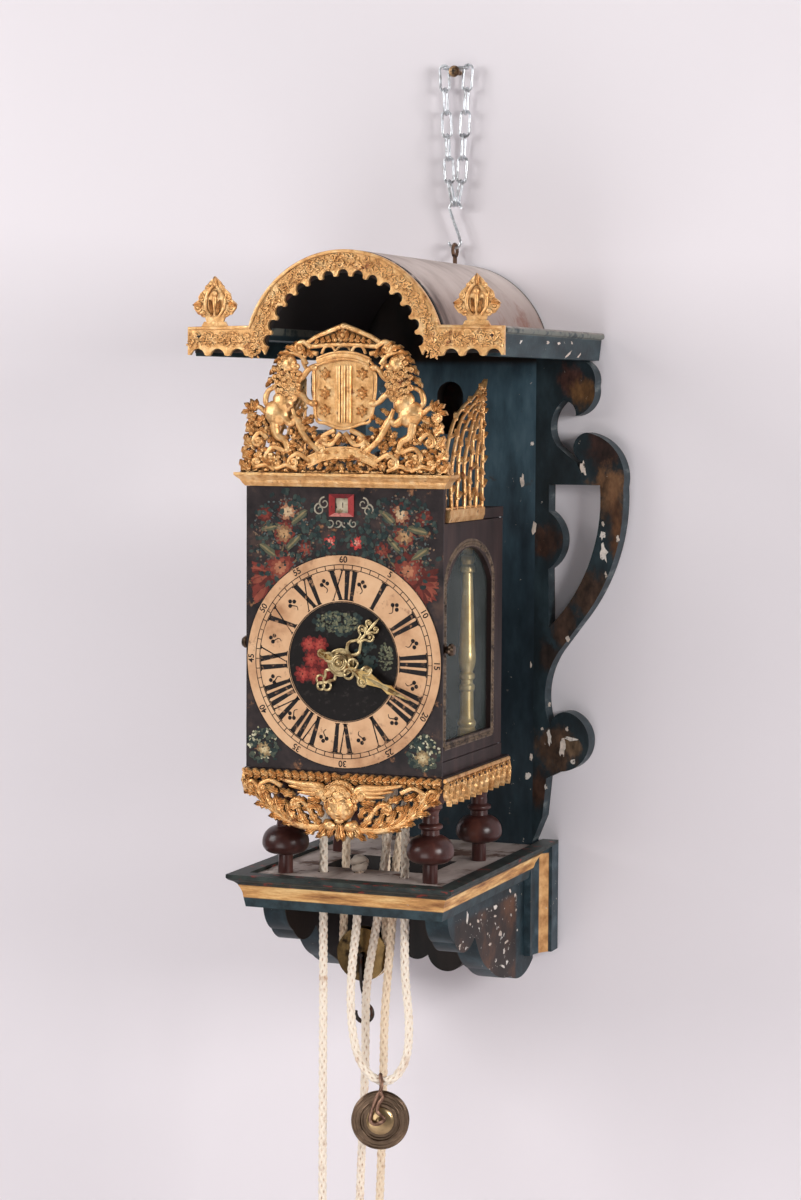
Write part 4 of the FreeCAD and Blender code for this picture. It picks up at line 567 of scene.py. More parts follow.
# Dark and light tone, roughness, scale of the clouds, stain, and how metallic.
METALS = {
    "hand_brass": ((150, 124, 80), (236, 214, 164), 0.34, 110, (116, 90, 58), 0.8),
    "pillar_brass": ((214, 176, 104), (252, 230, 170), 0.3, 60, None, 0.5),
    "dome_brass": ((142, 116, 84), (206, 178, 134), 0.3, 60, None, 1.0),
    "sheave_brass": ((62, 48, 33), (142, 114, 74), 0.16, 30, (40, 31, 25), 1.0),
    "rust": ((58, 40, 32), (140, 104, 78), 0.7, 160, (46, 32, 27), 0.3),
    "screw": ((112, 86, 62), (176, 142, 104), 0.4, 120, (86, 62, 44), 0.7),
    "black_paint": ((12, 10, 10), (38, 28, 26), 0.6, 60, (60, 24, 20), 0.0),
    "brass": ((176, 134, 74), (236, 204, 138), 0.28, 80, (120, 82, 44), 1.0),
    "bronze": ((76, 62, 51), (132, 109, 90), 0.3, 40, None, 1.0),
    "iron": ((40, 37, 36), (86, 80, 76), 0.5, 90, (74, 48, 38), 1.0),
    "steel": ((120, 120, 122), (186, 186, 188), 0.35, 90, (92, 82, 74), 1.0),
    "zinc": ((186, 190, 196), (240, 242, 244), 0.28, 120, (150, 150, 152), 0.6),
    "dull_gilt": ((70, 56, 47), (132, 110, 88), 0.6, 130, (48, 37, 32), 0.2),
    "copper": ((110, 82, 68), (176, 140, 120), 0.45, 110, (86, 62, 52), 1.0),
    "paper": ((196, 178, 148), (226, 212, 186), 0.8, 120, (168, 140, 104), 0.0),
}


def metal_finish(name, dark, light, roughness, scale, stain, metallic):
    """Aged metal, or paint where it isn't metallic: two tones, fine scratches, and stains in patches."""
    paint = Finish(name, roughness=roughness, metallic=metallic)
    base = paint.tones(paint.noise(scale, 6), (0.32, *dark), (0.7, *light))
    if stain is not None:
        base = paint.spots(base, tone(*stain), scale * 0.8, 0.56, 0.06)
    return paint.done(base, paint.noise(scale * 7, 3), 0.12, 0.0004)


def glass_finish():
    """Old window glass: nearly clear, with a thin film of grey dust."""
    paint = Finish("glass", roughness=0.03)
    paint.shader.inputs["Alpha"].default_value = 0.1
    film = paint.tones(paint.noise(20, 3), (0.3, 120, 132, 130), (0.7, 176, 188, 186))
    return paint.done(film, paint.noise(25, 2), 0.03, 0.001)


def dial_finish():
    """Dial plate: black-brown paint, rubbed and browned."""
    paint = Finish("dial_ground", roughness=0.4, gloss=0.2)
    base = paint.tones(paint.noise(40, 6), (0.3, 26, 23, 25), (0.55, 54, 45, 45), (0.78, 100, 76, 64))
    base = paint.spots(base, tone(150, 104, 72), 55, 0.64, 0.05)
    return paint.done(base, paint.noise(220, 4), 0.15, 0.0005)


def painted_finish(name, roughness, mottle, worn):
    """Oil paint in the tint of each brush mark, broken up and worn through to what lies under it."""
    paint = Finish(name, roughness=roughness, gloss=0.2)
    shade = paint.ramp(paint.noise(160, 5), [(0.3, (1 - mottle,) * 3), (0.7, (1 + mottle * 0.4,) * 3)])
    base = paint.mix(1.0, paint.tint(), shade, "MULTIPLY")
    base = paint.spots(base, worn, 150, 0.6, 0.05)
    return paint.done(base, paint.noise(260, 4), 0.15, 0.0005)


def ring_finish():
    """Chapter ring: peach-coloured paint gone brown in clouds."""
    paint = Finish("chapter_ring", roughness=0.45, gloss=0.25)
    base = paint.tones(paint.noise(34, 6), (0.28, 176, 128, 92), (0.48, 214, 168, 128), (0.74, 230, 190, 150))
    base = paint.spots(base, tone(150, 108, 82), 70, 0.64, 0.06)
    return paint.done(base, paint.noise(220, 4), 0.12, 0.0005)


def rope_finish(name, pale, dirt_and_crevice_shade):
    """Cotton cord: pale fibres with dirt in patches, and painted shade in the crevices of the braid."""
    paint = Finish(name, roughness=0.9)
    paint.shader.inputs["Sheen Weight"].default_value = 0.25
    base = paint.ramp(paint.noise(60, 5), [(0.22, dirt_and_crevice_shade), (0.45, pale), (0.8, pale)])
    # Painted shade: the braid's crevices take the dark colour.
    base = paint.mix(paint.step(paint.hollow(0.0025), 0.42, 0.3), dirt_and_crevice_shade, base)
    return paint.done(base, paint.noise(900, 3, (1, 1, 0.4)), 0.3, 0.0004)


def make_finishes():
    """Every material, by the name that the pieces ask for."""
    finishes = {
        "gilt": gilt_finish(),
        "teal_board": board_finish(),
        "wing_paint": wing_finish(),
        "eave_paint": eave_finish(),
        "cheek_paint": cheek_finish(),
        "dusty_sheet": sheet_finish(),
        "moulding_paint": moulding_finish(),
        "return_paint": return_finish(),
        "shelf_wood": shelf_finish(),
        "case_wood": case_finish(),
        "foot_wood": foot_finish(),
        "glass": glass_finish(),
        "dial_ground": dial_finish(),
        "daub": painted_finish("daub", 0.45, 0.35, tone(44, 38, 36)),
        "marks": painted_finish("dial_marks", 0.5, 0.25, tone(150, 112, 84)),
        "chapter_ring": ring_finish(),
        "rope": rope_finish("rope", tone(252, 238, 220), tone(188, 140, 100)),
        "rope_dusty": rope_finish("rope_dusty", tone(206, 190, 174), tone(126, 106, 90)),
        "rope_stained": rope_finish("rope_stained", tone(244, 222, 194), tone(182, 138, 104)),
    }
    for name, recipe in METALS.items():
        finishes[name] = metal_finish(name, *recipe)
    return finishes


# Each finish and the CAD nodes that wear it.
NODE_FINISH = {
    "teal_board": ("backboard",),
    "wing_paint": ("wing_left", "wing_right"),
    "eave_paint": ("hood_eaves",),
    "cheek_paint": ("console_cheeks",),
    "dusty_sheet": ("hood_vault",),
    "gilt": (
        "hood_trim",
        "hood_finials",
        "cornice",
        "front_fret",
        "side_frets",
        "front_apron",
        "side_aprons",
    ),
    "black_paint": ("hood_front_board",),
    "moulding_paint": ("console_moulding",),
    "return_paint": ("console_returns",),
    "shelf_wood": ("console_shelf",),
    "case_wood": ("case_base", "case_top", "case_back", "door_left", "door_right"),
    "foot_wood": ("feet",),
    "dial_ground": ("dial_plate",),
    "glass": ("door_glass_left", "door_glass_right"),
    "zinc": ("hanging_chain", "s_hook"),
    "rust": ("hanging_eye",),
    "screw": ("wall_screw",),
    "pillar_brass": ("pillars",),
    "sheave_brass": ("strike_pulley_sheave",),
    "iron": ("strike_pulley_strap", "train_bars", "bell_stand", "hammer", "verge", "alarm_drum"),
    "steel": ("door_hinge_pins", "pendulum", "fly"),
    "bronze": ("going_pulley_strap", "going_pulley_sheave", "bell", "door_knob_left", "door_knob_right"),
    "paper": ("date_disc",),
    "rope": ("rope_going", "rope_strike", "rope_alarm"),
    "brass": (
        "hour_hand",
        "minute_hand",
        "going_great_wheel",
        "contrate_wheel",
        "crown_wheel",
        "minute_wheel",
        "hour_wheel",
        "strike_great_wheel",
        "hoop_wheel",
        "count_wheel",
    ),
}


def dress_nodes(finishes):
    """Give every CAD node its material."""
    for finish, nodes in NODE_FINISH.items():
        for node in nodes:
            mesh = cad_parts[node].data
            mesh.materials.clear()
            mesh.materials.append(finishes[finish])


# Width of the worn arris in millimetres and the CAD nodes that have it.
ROUNDED_EDGES = {
    0.6: (
        "case_base",
        "case_top",
        "door_left",
        "door_right",
        "console_moulding",
        "console_returns",
        "cornice",
    ),
    0.9: ("backboard", "console_shelf", "hood_eaves"),
    1.3: ("console_cheeks",),
    1.9: ("wing_left", "wing_right"),
}
SHARP_EDGE = math.radians(40)


def soften_edges():
    """Worn arrises on the wooden pieces."""
    for width, nodes in ROUNDED_EDGES.items():
        for node in nodes:
            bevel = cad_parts[node].modifiers.new("worn_edges", "BEVEL")
            bevel.width = width * MM
            bevel.segments = 2
            bevel.limit_method = "ANGLE"
            bevel.angle_limit = SHARP_EDGE


# Drawing


class Ground:
    """A flat ground for a sculpture's ornament: u and v run along it and h stands out of it."""

    def __init__(self, sculpt, place, flipped=False):
        self.sculpt = sculpt
        self.place = place
        self.flipped = flipped

    def mirrored(self):
        """The same ground with u running the other way."""
        return Ground(self.sculpt, lambda u, v, h: self.place(-u, v, h), not self.flipped)

    def raised(self, lift):
        """The same ground further out."""
        return Ground(self.sculpt, lambda u, v, h: self.place(u, v, h + lift), self.flipped)

    def add(self, points, faces, tint=WHITE):
        """Lay points and faces on the ground."""
        self.sculpt.add([self.place(*point) for point in points], faces, tint, self.flipped)


def front_ground(sculpt, depth):
    """Faces the room: u is X and v is Z."""
    return Ground(sculpt, lambda u, v, h: (u, depth - h, v))


def side_ground(sculpt, across, hand):
    """Faces right where hand is 1 and left where it is -1: u is Y and v is Z."""
    return Ground(sculpt, lambda u, v, h: (hand * (across + h), u, v), hand < 0)


class Sculpt:
    """Gathers the faces of one piece, each point with its own tint."""

    def __init__(self):
        self.points = []
        self.faces = []
        self.tints = []

    def add(self, points, faces, tint=WHITE, flipped=False):
        """Add points in millimetres and the faces between them."""
        first = len(self.points)
        self.points.extend(points)
        for face in faces:
            order = reversed(face) if flipped else face
            self.faces.append(tuple(first + i for i in order))
        self.tints.extend([tint] * len(points))

    def piece(self, name, material, body="bracket", crease=50):
        """The finished piece, riding on a body, sharp where faces meet at more than crease degrees."""
        mesh = bpy.data.meshes.new(name)
        mesh.from_pydata([Vector(point) * MM for point in self.points], [], self.faces)
        layer = mesh.color_attributes.new("tint", "FLOAT_COLOR", "POINT")
        layer.data.foreach_set("color", [channel for tint in self.tints for channel in (*tint, 1.0)])
        mesh.materials.append(material)
        mesh.shade_smooth()
        mesh.set_sharp_from_angle(angle=math.radians(crease))
        obj = bpy.data.objects.new(name, mesh)
        bpy.context.scene.collection.objects.link(obj)
        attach(obj, body)
        return obj


def spread(values, share):
    """The value at a share, 0 to 1, along a list of evenly spaced values, or a plain number itself."""
    if not isinstance(values, (list, tuple)):
        return values
    at = share * (len(values) - 1)
    low = min(int(at), len(values) - 2)
    return values[low] + (values[low + 1] - values[low]) * (at - low)


def polar(centre, reach, angle):
    """The point at a distance and an angle from a centre."""
    return (centre[0] + reach * math.cos(angle), centre[1] + reach * math.sin(angle))


def turned(centre, u, v, degrees):
    """The point u along and v across from a centre, both directions turned by degrees."""
    cos_turn = math.cos(math.radians(degrees))
    sin_turn = math.sin(math.radians(degrees))
    return (centre[0] + u * cos_turn - v * sin_turn, centre[1] + u * sin_turn + v * cos_turn)


def off_line(point, side, reach):
    """The point at a distance from a line's point, in the direction across the line."""
    return (point[0] + side[0] * reach, point[1] + side[1] * reach)


def smooth(points, steps=6):
    """A flowing line through points in the plane or in space."""

    def blend(a, b, c, d, t):
        bend = 2 * a - 5 * b + 4 * c - d
        twist = 3 * b - a - 3 * c + d
        return 0.5 * (2 * b + (c - a) * t + bend * t * t + twist * t**3)

    ends = [points[0], *points, points[-1]]
    line = []
    for knots in zip(ends, ends[1:], ends[2:], ends[3:]):
        for step in range(steps):
            line.append(tuple(blend(*values, step / steps) for values in zip(*knots)))
    line.append(tuple(points[-1]))
    return line


def circle(centre, radius, steps=16):
    """Points round a circle."""
    return [polar(centre, radius, FULL_TURN * k / steps) for k in range(steps)]


def volute(centre, radius, start, turns):
    """A spiral from its outside inwards. Angles are in degrees and a negative turn runs clockwise."""
    inner = 0.25
    steps_a_turn = 14
    count = max(8, int(abs(turns) * steps_a_turn))
    line = []
    for i in range(count + 1):
        share = i / count
        angle = math.radians(start) + FULL_TURN * turns * share
        line.append(polar(centre, radius * (1 - (1 - inner) * share), angle))
    return line


def skin(rings, closed_ends=True):
    """Faces of a tube whose rings have the same number of points, numbered ring after ring."""
    count = len(rings[0])
    faces = []
    for i in range(len(rings) - 1):
        for k in range(count):
            k_next = (k + 1) % count
            near = i * count
            far = near + count
            faces.append((near + k, near + k_next, far + k_next, far + k))
    if closed_ends:
        faces.append(tuple(reversed(range(count))))
        faces.append(tuple((len(rings) - 1) * count + k for k in range(count)))
    return [point for ring in rings for point in ring], faces


def across_line(line):
    """The unit direction across a plane line at each of its points."""
    normals = []
    for i in range(len(line)):
        before = line[max(i - 1, 0)]
        after = line[min(i + 1, len(line) - 1)]
        run = (after[0] - before[0], after[1] - before[1])
        length = math.hypot(*run) or 1.0
        normals.append((-run[1] / length, run[0] / length))
    return normals


def stem(ground, line, widths, lift=0.0, rise=1.0, sides=8):
    """A rounded stem along a line on the ground. rise is its height as a share of its width."""
    rings = []
    for i, (point, side) in enumerate(zip(line, across_line(line))):
        half = spread(widths, i / (len(line) - 1)) / 2
        ring = []
        for k in range(sides):
            angle = FULL_TURN * k / sides
            height = lift + half * rise * math.sin(angle)
            ring.append((*off_line(point, side, half * math.cos(angle)), height))
        rings.append(ring)
    ground.add(*skin(rings))


def leaf(ground, root, tip, width, bend=0.0, lobes=3, lift=0.0, rise=2.5, thick=1.6):
    """A carved leaf: scalloped edges, a raised rib, and a flat back."""
    along = 4 * lobes + 4
    run = (tip[0] - root[0], tip[1] - root[1])
    bow = ((root[0] + tip[0]) / 2 - run[1] * bend, (root[1] + tip[1]) / 2 + run[0] * bend)
    spine = []
    for i in range(along + 1):
        t = i / along
        near, middle, far = (1 - t) ** 2, 2 * t * (1 - t), t * t
        spine.append(tuple(near * a + middle * b + far * c for a, b, c in zip(root, bow, tip)))
    rings = []
    for i, (point, side) in enumerate(zip(spine, across_line(spine))):
        t = i / along
        swell = math.sin(math.pi * min(0.03 + 0.97 * t**0.85, 0.985)) ** 0.7
        half = max(width / 2 * swell * (0.8 + 0.2 * math.cos(FULL_TURN * lobes * t + math.pi)), 0.15)
        across = (side[0] * half, side[1] * half)
        curl = 0.35 * math.sin(math.pi * t)
        ring = []
        for s in (-1.0, -0.62, -0.28, 0.0, 0.28, 0.62, 1.0):
            carve = (1 - s * s) ** 0.5 * (0.72 + 0.28 * math.cos(2.9 * math.pi * s))
            ring.append((*off_line(point, across, s), lift + rise * (carve + curl)))
        for s in (0.9, -0.9):
            ring.append((*off_line(point, across, s), lift - thick))
        rings.append(ring[::-1])
    ground.add(*skin(rings))


def boss(ground, centre, size, lift=0.0, turn=0.0, sides=12, rings=7):
    """A rounded lump: half sizes along u, v and h, turned by degrees on the ground."""
    loops = []
    for i in range(rings + 1):
        tilt = math.pi * (0.02 + 0.96 * i / rings)
        loop = []
        for k in range(sides):
            angle = FULL_TURN * k / sides
            u = size[0] * math.sin(tilt) * math.cos(angle)
            v = size[1] * math.sin(tilt) * math.sin(angle)
            loop.append((*turned(centre, u, v, turn), lift - size[2] * math.cos(tilt)))
        loops.append(loop)
    ground.add(*skin(loops))


def rosette(ground, centre, radius, petals=6, lift=0.0, turn=0.0):
    """A flower of leaf-shaped petals round a lump."""
    for k in range(petals):
        tip = polar(centre, radius, math.radians(turn) + FULL_TURN * k / petals)
        leaf(ground, centre, tip, radius * 3.6 / petals, 0, 1, lift, radius * 0.22, 1.0)
    size = radius * 0.3
    boss(ground, centre, (size, size, size), lift + radius * 0.12)


def slab(ground, outline, low, high, tint=WHITE):
    """A flat plate between two heights, with a plane outline given counter-clockwise."""
    count = len(outline)
    points = [(u, v, low) for u, v in outline] + [(u, v, high) for u, v in outline]
    faces = [tuple(reversed(range(count))), tuple(range(count, 2 * count))]
    for k in range(count):
        k_next = (k + 1) % count
        faces.append((k, k_next, count + k_next, count + k))
    ground.add(points, faces, tint)


def stroke(line, widths):
    """The outline of a flat brush stroke along a line."""
    left = []
    right = []
    for i, (point, side) in enumerate(zip(line, across_line(line))):
        half = spread(widths, i / (len(line) - 1)) / 2
        left.append(off_line(point, side, half))
        right.append(off_line(point, side, -half))
    return right + left[::-1]


def daub(ground, centre, size, turn, tint, lift=0.3, wobble=0.18):
    """One brush mark: an uneven oval, turned by degrees."""
    outline = []
    for u, v in circle((0, 0), 1.0, 12):
        reach = 1 + rng.uniform(-wobble, wobble)
        outline.append(turned(centre, u * size[0] * reach, v * size[1] * reach, turn))
    slab(ground, outline, PAINT_FOOT, lift + rng.uniform(0, 0.06), tint)


def tendril(ground, line, widths, curl_radius, curl_turns, lift=0.0):
    """A stem that ends in a scroll, which carries on in the stem's direction."""
    last = line[-1]
    before = line[-2]
    heading = math.atan2(last[1] - before[1], last[0] - before[0])
    hand = 1 if curl_turns > 0 else -1
    reach = hand * curl_radius
    centre = (last[0] - reach * math.sin(heading), last[1] + reach * math.cos(heading))
    start = math.degrees(heading) - hand * 90
    stem(ground, line[:-1] + volute(centre, curl_radius, start, curl_turns), widths, lift)
    eye = spread(widths, 1) * 0.8
    boss(ground, centre, (eye, eye, eye), lift + 0.4)


def ringlet(ground, centre, radius, width=2.2):
    """A round wire bent to a ring."""
    loop = circle(centre, radius, 20)
    stem(ground, loop + loop[:1], width, 0.0, 0.8)


def line_frames(points):
    """A steady pair of directions across a line in space at each of its points."""
    frames = []
    normal = None
    for i in range(len(points)):
        run = (points[min(i + 1, len(points) - 1)] - points[max(i - 1, 0)]).normalized()
        if normal is None:
            normal = run.orthogonal().normalized()
        normal = (normal - run * normal.dot(run)).normalized()
        frames.append((normal, run.cross(normal)))
    return frames


def wire(sculpt, line, radius, sides=8):
    """A round wire along a line in space, its section carried along without twisting."""
    points = [Vector(point) for point in line]
    rings = []
    for point, (normal, side) in zip(points, line_frames(points)):
        ring = []
        for k in range(sides):
            angle = FULL_TURN * k / sides
            ring.append(tuple(point + radius * (math.cos(angle) * normal + math.sin(angle) * side)))
        rings.append(ring)
    sculpt.add(*skin(rings))


def meshed(curve):
    """The points and faces of a curve or text, which is then removed."""
    holder = bpy.data.objects.new(curve.name, curve)
    mesh = bpy.data.meshes.new_from_object(holder)
    points = [vertex.co.copy() for vertex in mesh.vertices]
    faces = [tuple(face.vertices) for face in mesh.polygons]
    bpy.data.objects.remove(holder)
    bpy.data.curves.remove(curve)
    bpy.data.meshes.remove(mesh)
    return points, faces


# Cast ornament and small marks

# Faces that ornament lies on: the Y of fronts and the X of sides, in millimetres.
FRET_FACE = -314.0
APRON_FACE = -315.0
FINIAL_FACE = -315.4
TRIM_FACE = -318.0
BOARD_FACE = -22.0
SCREW_FACE = -20.0
CREST_SIDE = 94.6
PLINTH_SIDE = 104.5
CHEEK_SIDE = 97.0
EAVE_SIDE = 162.0
DOOR_SIDE = 98.4
HOOD_CENTRE = -302.0


def lion(ground):
    """A rampant beast facing the middle: smooth rump, curled mane, four legs and a tufted tail."""
    boss(ground, (69, -355), (14, 12, 6), 1.5, 40)
    boss(ground, (62, -344), (12, 10.5, 5.5), 1.5, 52)
    boss(ground, (56, -326), (20, 12.5, 5), 1.5, 84)
    boss(ground, (55, -308), (8, 8.5, 5.5), 3.0, 10)
    boss(ground, (48.5, -310.5), (5, 3.6, 3.6), 4.5, -14)
    boss(ground, (50, -315), (4.4, 2.0, 2.8), 4.5, -8)
    curls = 34
    for k in range(curls):
        reach = math.sqrt((k + 0.5) / curls)
        angle = k * GOLDEN_ANGLE
        place = (58 + 14 * reach * math.cos(angle), -322 + 21 * reach * math.sin(angle))
        boss(ground, place, (3.6, 3.4, 2.6), 6.4 - 3.2 * reach, sides=8, rings=5)
        stem(ground, volute(place, 2.9, 97 * k, 1.2), (1.7, 1.1), 8.6 - 3.2 * reach, sides=6)
    for line, widths in (
        ([(50, -325), (42, -320), (36, -313), (31, -311)], (7, 6, 5)),
        ([(51, -336), (43, -337), (37, -343), (31, -345)], (7, 6, 5)),
        ([(63, -357), (54, -364), (47, -360), (41, -369)], (10, 7, 6)),
        ([(71, -363), (69, -375), (60, -381), (57, -390)], (11, 8, 6)),
    ):
        stem(ground, smooth(line), widths, 1.4)
        boss(ground, line[-1], (4.6, 3.4, 3.4), 1.6, sides=9)
    tail = [(79, -356), (87, -349), (95, -350), (98, -358), (92, -365), (87, -359)]
    stem(ground, smooth(tail), (5.5, 4.5, 4), 0.5)
    for tip in ((103, -345), (106, -355), (96, -341), (90, -341)):
        leaf(ground, (95, -353), tip, 7.5, 0.2, 2, 1.0)
    stem(ground, smooth([(68, -329), (78, -333), (81, -344), (75, -351)]), (4, 6, 4.5), 0.0)


def inside_slope(u, v, slope):
    """True where (u, v) is under a line of (u, v) points that falls from the middle outwards."""
    for (u_near, v_near), (u_far, v_far) in zip(slope, slope[1:]):
        if u_near <= u <= u_far:
            return v < v_near + (v_far - v_near) * (u - u_near) / (u_far - u_near)
    return False


CREST_SLOPE = [
    (0, -374),
    (24, -376),
    (34, -352),
    (46, -362),
    (60, -372),
    (74, -368),
    (84, -362),
    (96, -352),
    (107, -402),
]


def foliage(ground, slope, low, high, pitch):
    """Small leaves and berries set close together between a low line and a slope."""
    rows = int((high - low) / pitch) + 1
    columns = int((slope[-1][0] - slope[0][0]) / pitch) + 1
    for row in range(rows):
        for column in range(columns):
            u = slope[0][0] + pitch * (column + 0.5 * (row % 2)) + rng.uniform(-1.2, 1.2)
            v = low + pitch * row + rng.uniform(-1.2, 1.2)
            if not inside_slope(u, v, slope):
                continue
            heading = math.radians(60) + 1.5 * math.sin(u / 11) + 1.2 * math.cos(v / 9)
            reach = rng.uniform(7.5, 11)
            tip = polar((u, v), reach, heading)
            if not inside_slope(tip[0], tip[1] - 3, slope):
                tip = polar((u, v), -reach * 0.5, heading)
            width = rng.uniform(6, 8.5)
            bend = rng.uniform(-0.35, 0.35)
            leaf(ground, (u, v), tip, width, bend, 2, rng.uniform(-0.4, 1.4))
            if (row + column) % 3 == 0:
                boss(ground, (u, v), (2.6, 2.6, 2.4), 1.6, sides=8, rings=5)


def fret_side(ground):
    """One half of the crest: a beast, vine scrolls, end leaves and the slope of the gable."""
    lion(ground)
    foliage(ground, CREST_SLOPE, low=-409, high=-350, pitch=6.6)
    slab(ground, [(0, -290), (36, -290.5), (20, -281), (0, -272.5)], -1.6, 0.6)
    stem(ground, [(0, -271.5), (14, -276.5), (28, -282), (39, -288.5)], (6, 5, 5), 0.8)
    stem(ground, [(0, -289), (18, -289.5), (37, -291.5)], (4.5, 4.5, 5), 0.8)
    for k in range(5):
        leaf(ground, (2 + 5.8 * k, -288), (6 + 5.8 * k, -276 - 2.3 * k), 8, 0.15, 2, 1.2)
    tendril(ground, smooth([(33, -292), (41, -287), (46, -288)]), (6, 5, 3.6), 5.2, -1.2, 1.2)
    for root, tip, width in (
        ((40, -296), (52, -287), 8),
        ((46, -297), (61, -292), 9),
        ((50, -300), (68, -299), 9),
        ((58, -303), (72, -307), 9),
        ((64, -310), (76, -318), 9),
        ((68, -320), (80, -330), 8),
        ((38, -300), (46, -292), 7),
        ((33, -302), (38, -293), 7),
    ):
        leaf(ground, root, tip, width, 0.25, 3, 1.0)
    tendril(ground, smooth([(38, -308), (44, -300), (53, -297)]), (5, 4.4, 3), 4.2, -1.1, 1.0)
    stem(ground, smooth([(27, -298), (36, -297), (42, -304), (38, -313)]), (5, 4.5, 4), 0.4)
    arches = ((0, 8.5), (15, 7.5))
    for at, half in arches:
        curve = [(-half, -298), (-half * 0.6, -292), (0, -290.5), (half * 0.6, -292), (half, -298)]
        stem(ground, smooth([(at + u, v) for u, v in curve], 4), 3.0, 1.0)
    palm = [(52, -350), (46, -364), (37, -379), (24, -390)]
    stem(ground, smooth(palm), (4, 7, 5.5), 2.6)
    for k in range(4):
        leaf(ground, (48 - 6 * k, -357 - 8 * k), (38 - 6 * k, -350 - 9 * k), 6.5, -0.2, 2, 2.0)
    for points, turns, radius in (
        ([(8, -370), (20, -376), (27, -384)], -1.3, 5),
        ([(2, -373), (12, -384), (20, -383)], 1.2, 4.5),
        ([(34, -400), (46, -393), (54, -397)], -1.4, 5.5),
        ([(46, -409), (58, -404), (66, -407)], 1.4, 5.0),
        ([(60, -391), (72, -387), (79, -393)], -1.4, 5.5),
        ([(70, -409), (80, -404), (88, -406)], 1.3, 4.6),
        ([(78, -379), (86, -373), (92, -378)], -1.3, 4.8),
    ):
        tendril(ground, smooth(points), (5.4, 4.8, 3.2), radius, turns, 2.0)
    for k in range(5):
        root = (95 - 1.2 * k, -409 + 12 * k)
        leaf(ground, root, (107 - 2.6 * k, -399 + 12.2 * k), 13, -0.3, 3, 1.0)
        leaf(ground, root, (86 - 1.5 * k, -400 + 11 * k), 10, 0.3, 2, 0.8)
    stem(ground, smooth([(98, -411), (95, -395), (93, -375), (91, -356)]), (6, 5.5, 4.5), -0.4)
    rosette(ground, (74, -400), 7, 6, 3.0)
    rosette(ground, (41, -404), 6, 6, 3.0)
    stem(ground, [(0, -410.5), (50, -410.5), (106, -410.5)], 4.5, 0.0, 0.8)


def front_fret(finish):
    """The crest over the dial: two beasts beside a plain ribbed cartouche under a small gable."""
    sculpt = Sculpt()
    ground = front_ground(sculpt, FRET_FACE)
    for half in (ground, ground.mirrored()):
        fret_side(half)
    panel = [(-31, -309), (-29, -357), (-18, -364), (0, -369)]
    panel += [(18, -364), (29, -357), (31, -309), (0, -303)]
    slab(ground, panel, -1.8, 0.4)
    edge = smooth(panel + panel[:1], 4)
    stem(ground, edge, 3.2, 0.8)
    for at in (-5.6, 0.0, 5.6):
        stem(ground, [(at, -309), (at, -330), (at, -363)], 5.6, 0.8, 0.9, 10)
    for hand in (-1, 1):
        for height in (-317, -335, -352):
            rosette(ground, (hand * 19, height), 6.4, 6, 0.8, 30)
    crown = smooth([(-27, -305.5), (-14, -301), (0, -299.5), (14, -301), (27, -305.5)])
    stem(ground, crown, 7.0, 0.8, 0.7, 10)
    stem(ground, [(u, v + 3.4) for u, v in crown], 2.2, 2.4)
    stem(ground, [(u, v - 3.4) for u, v in crown], 2.2, 2.4)
    rosette(ground, (0, -280.5), 8.5, 7, 2.0, 90)
    boss(ground, (0, -272), (4, 3.2, 3.5), 1.5)
    ribbon = smooth([(-36, -401), (-18, -393.5), (0, -391.5), (18, -393.5), (36, -401)])
    band = [(u, v + 5.2) for u, v in reversed(ribbon)] + [(u, v - 5.2) for u, v in ribbon]
    slab(ground, band[::-1], 1.0, 3.2)
    stem(ground, [(u, v + 5.2) for u, v in ribbon], 1.6, 3.0)
    stem(ground, [(u, v - 5.2) for u, v in ribbon], 1.6, 3.0)
    piece = sculpt.piece("crest_ornament", finish)
    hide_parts("front_fret")


# The outer ribs of a side crest, from the foot up: the front one and the rear one.
CREST_RIBS = (
    ((-295, -446), (-189, -446)),
    ((-294.5, -418), (-188.5, -428)),
    ((-290, -391), (-188, -410)),
    ((-271, -363), (-187, -392)),
    ((-245, -348), (-186, -374)),
    ((-214, -338), (-185, -356)),
    ((-195, -328), (-184.5, -338)),
    ((-185, -322), (-184, -322)),
)


def side_fret(ground):
    """A side crest: ribs sweeping up from the foot to a peak at the rear, with small leaves along them."""
    front, rear = (smooth(rib) for rib in zip(*CREST_RIBS))
    ribs = 7
    for k in range(ribs):
        share = k / (ribs - 1)
        rib = []
        for i, (ahead, behind) in enumerate(zip(front, rear)):
            sway = 1.6 * math.sin(0.42 * i + 2.1 * k) if 0 < k < ribs - 1 else 0.0
            y = ahead[0] + (behind[0] - ahead[0]) * share + sway
            z = ahead[1] + (behind[1] - ahead[1]) * share
            rib.append((y, z))
        stem(ground, rib, (4.6, 4.2, 3.8, 3.0, 2.2), 0.5 + 0.5 * (k % 2))
        for i in range(3 + k % 2, len(rib) - 5, 4):
            fade = 1 - 0.6 * i / len(rib)
            heading = math.atan2(rib[i + 1][1] - rib[i][1], rib[i + 1][0] - rib[i][0])
            heading += 0.8 if (i + k) % 8 < 4 else -0.8
            tip = (rib[i][0] + 13 * fade * math.cos(heading), rib[i][1] + 10 * fade * math.sin(heading))
            leaf(ground, rib[i], tip, 6.5 * fade, 0.2, 2, 1.4, 2.4)
            boss(ground, rib[i], (2.6 * fade, 2.2 * fade, 2.4), 1.6, sides=8, rings=5)
    stem(ground, [(-298, -445), (-240, -445), (-186, -445)], 4.0, 0.0)
    leaf(ground, (-192, -334), (-183, -320.5), 7, 0.1, 2, 1.4)


def side_frets(finish):
    """The crests over both sides of the case."""
    sculpt = Sculpt()
    for hand in (1, -1):
        side_fret(side_ground(sculpt, CREST_SIDE, hand))
    piece = sculpt.piece("side_crests", finish)
    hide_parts("side_frets")


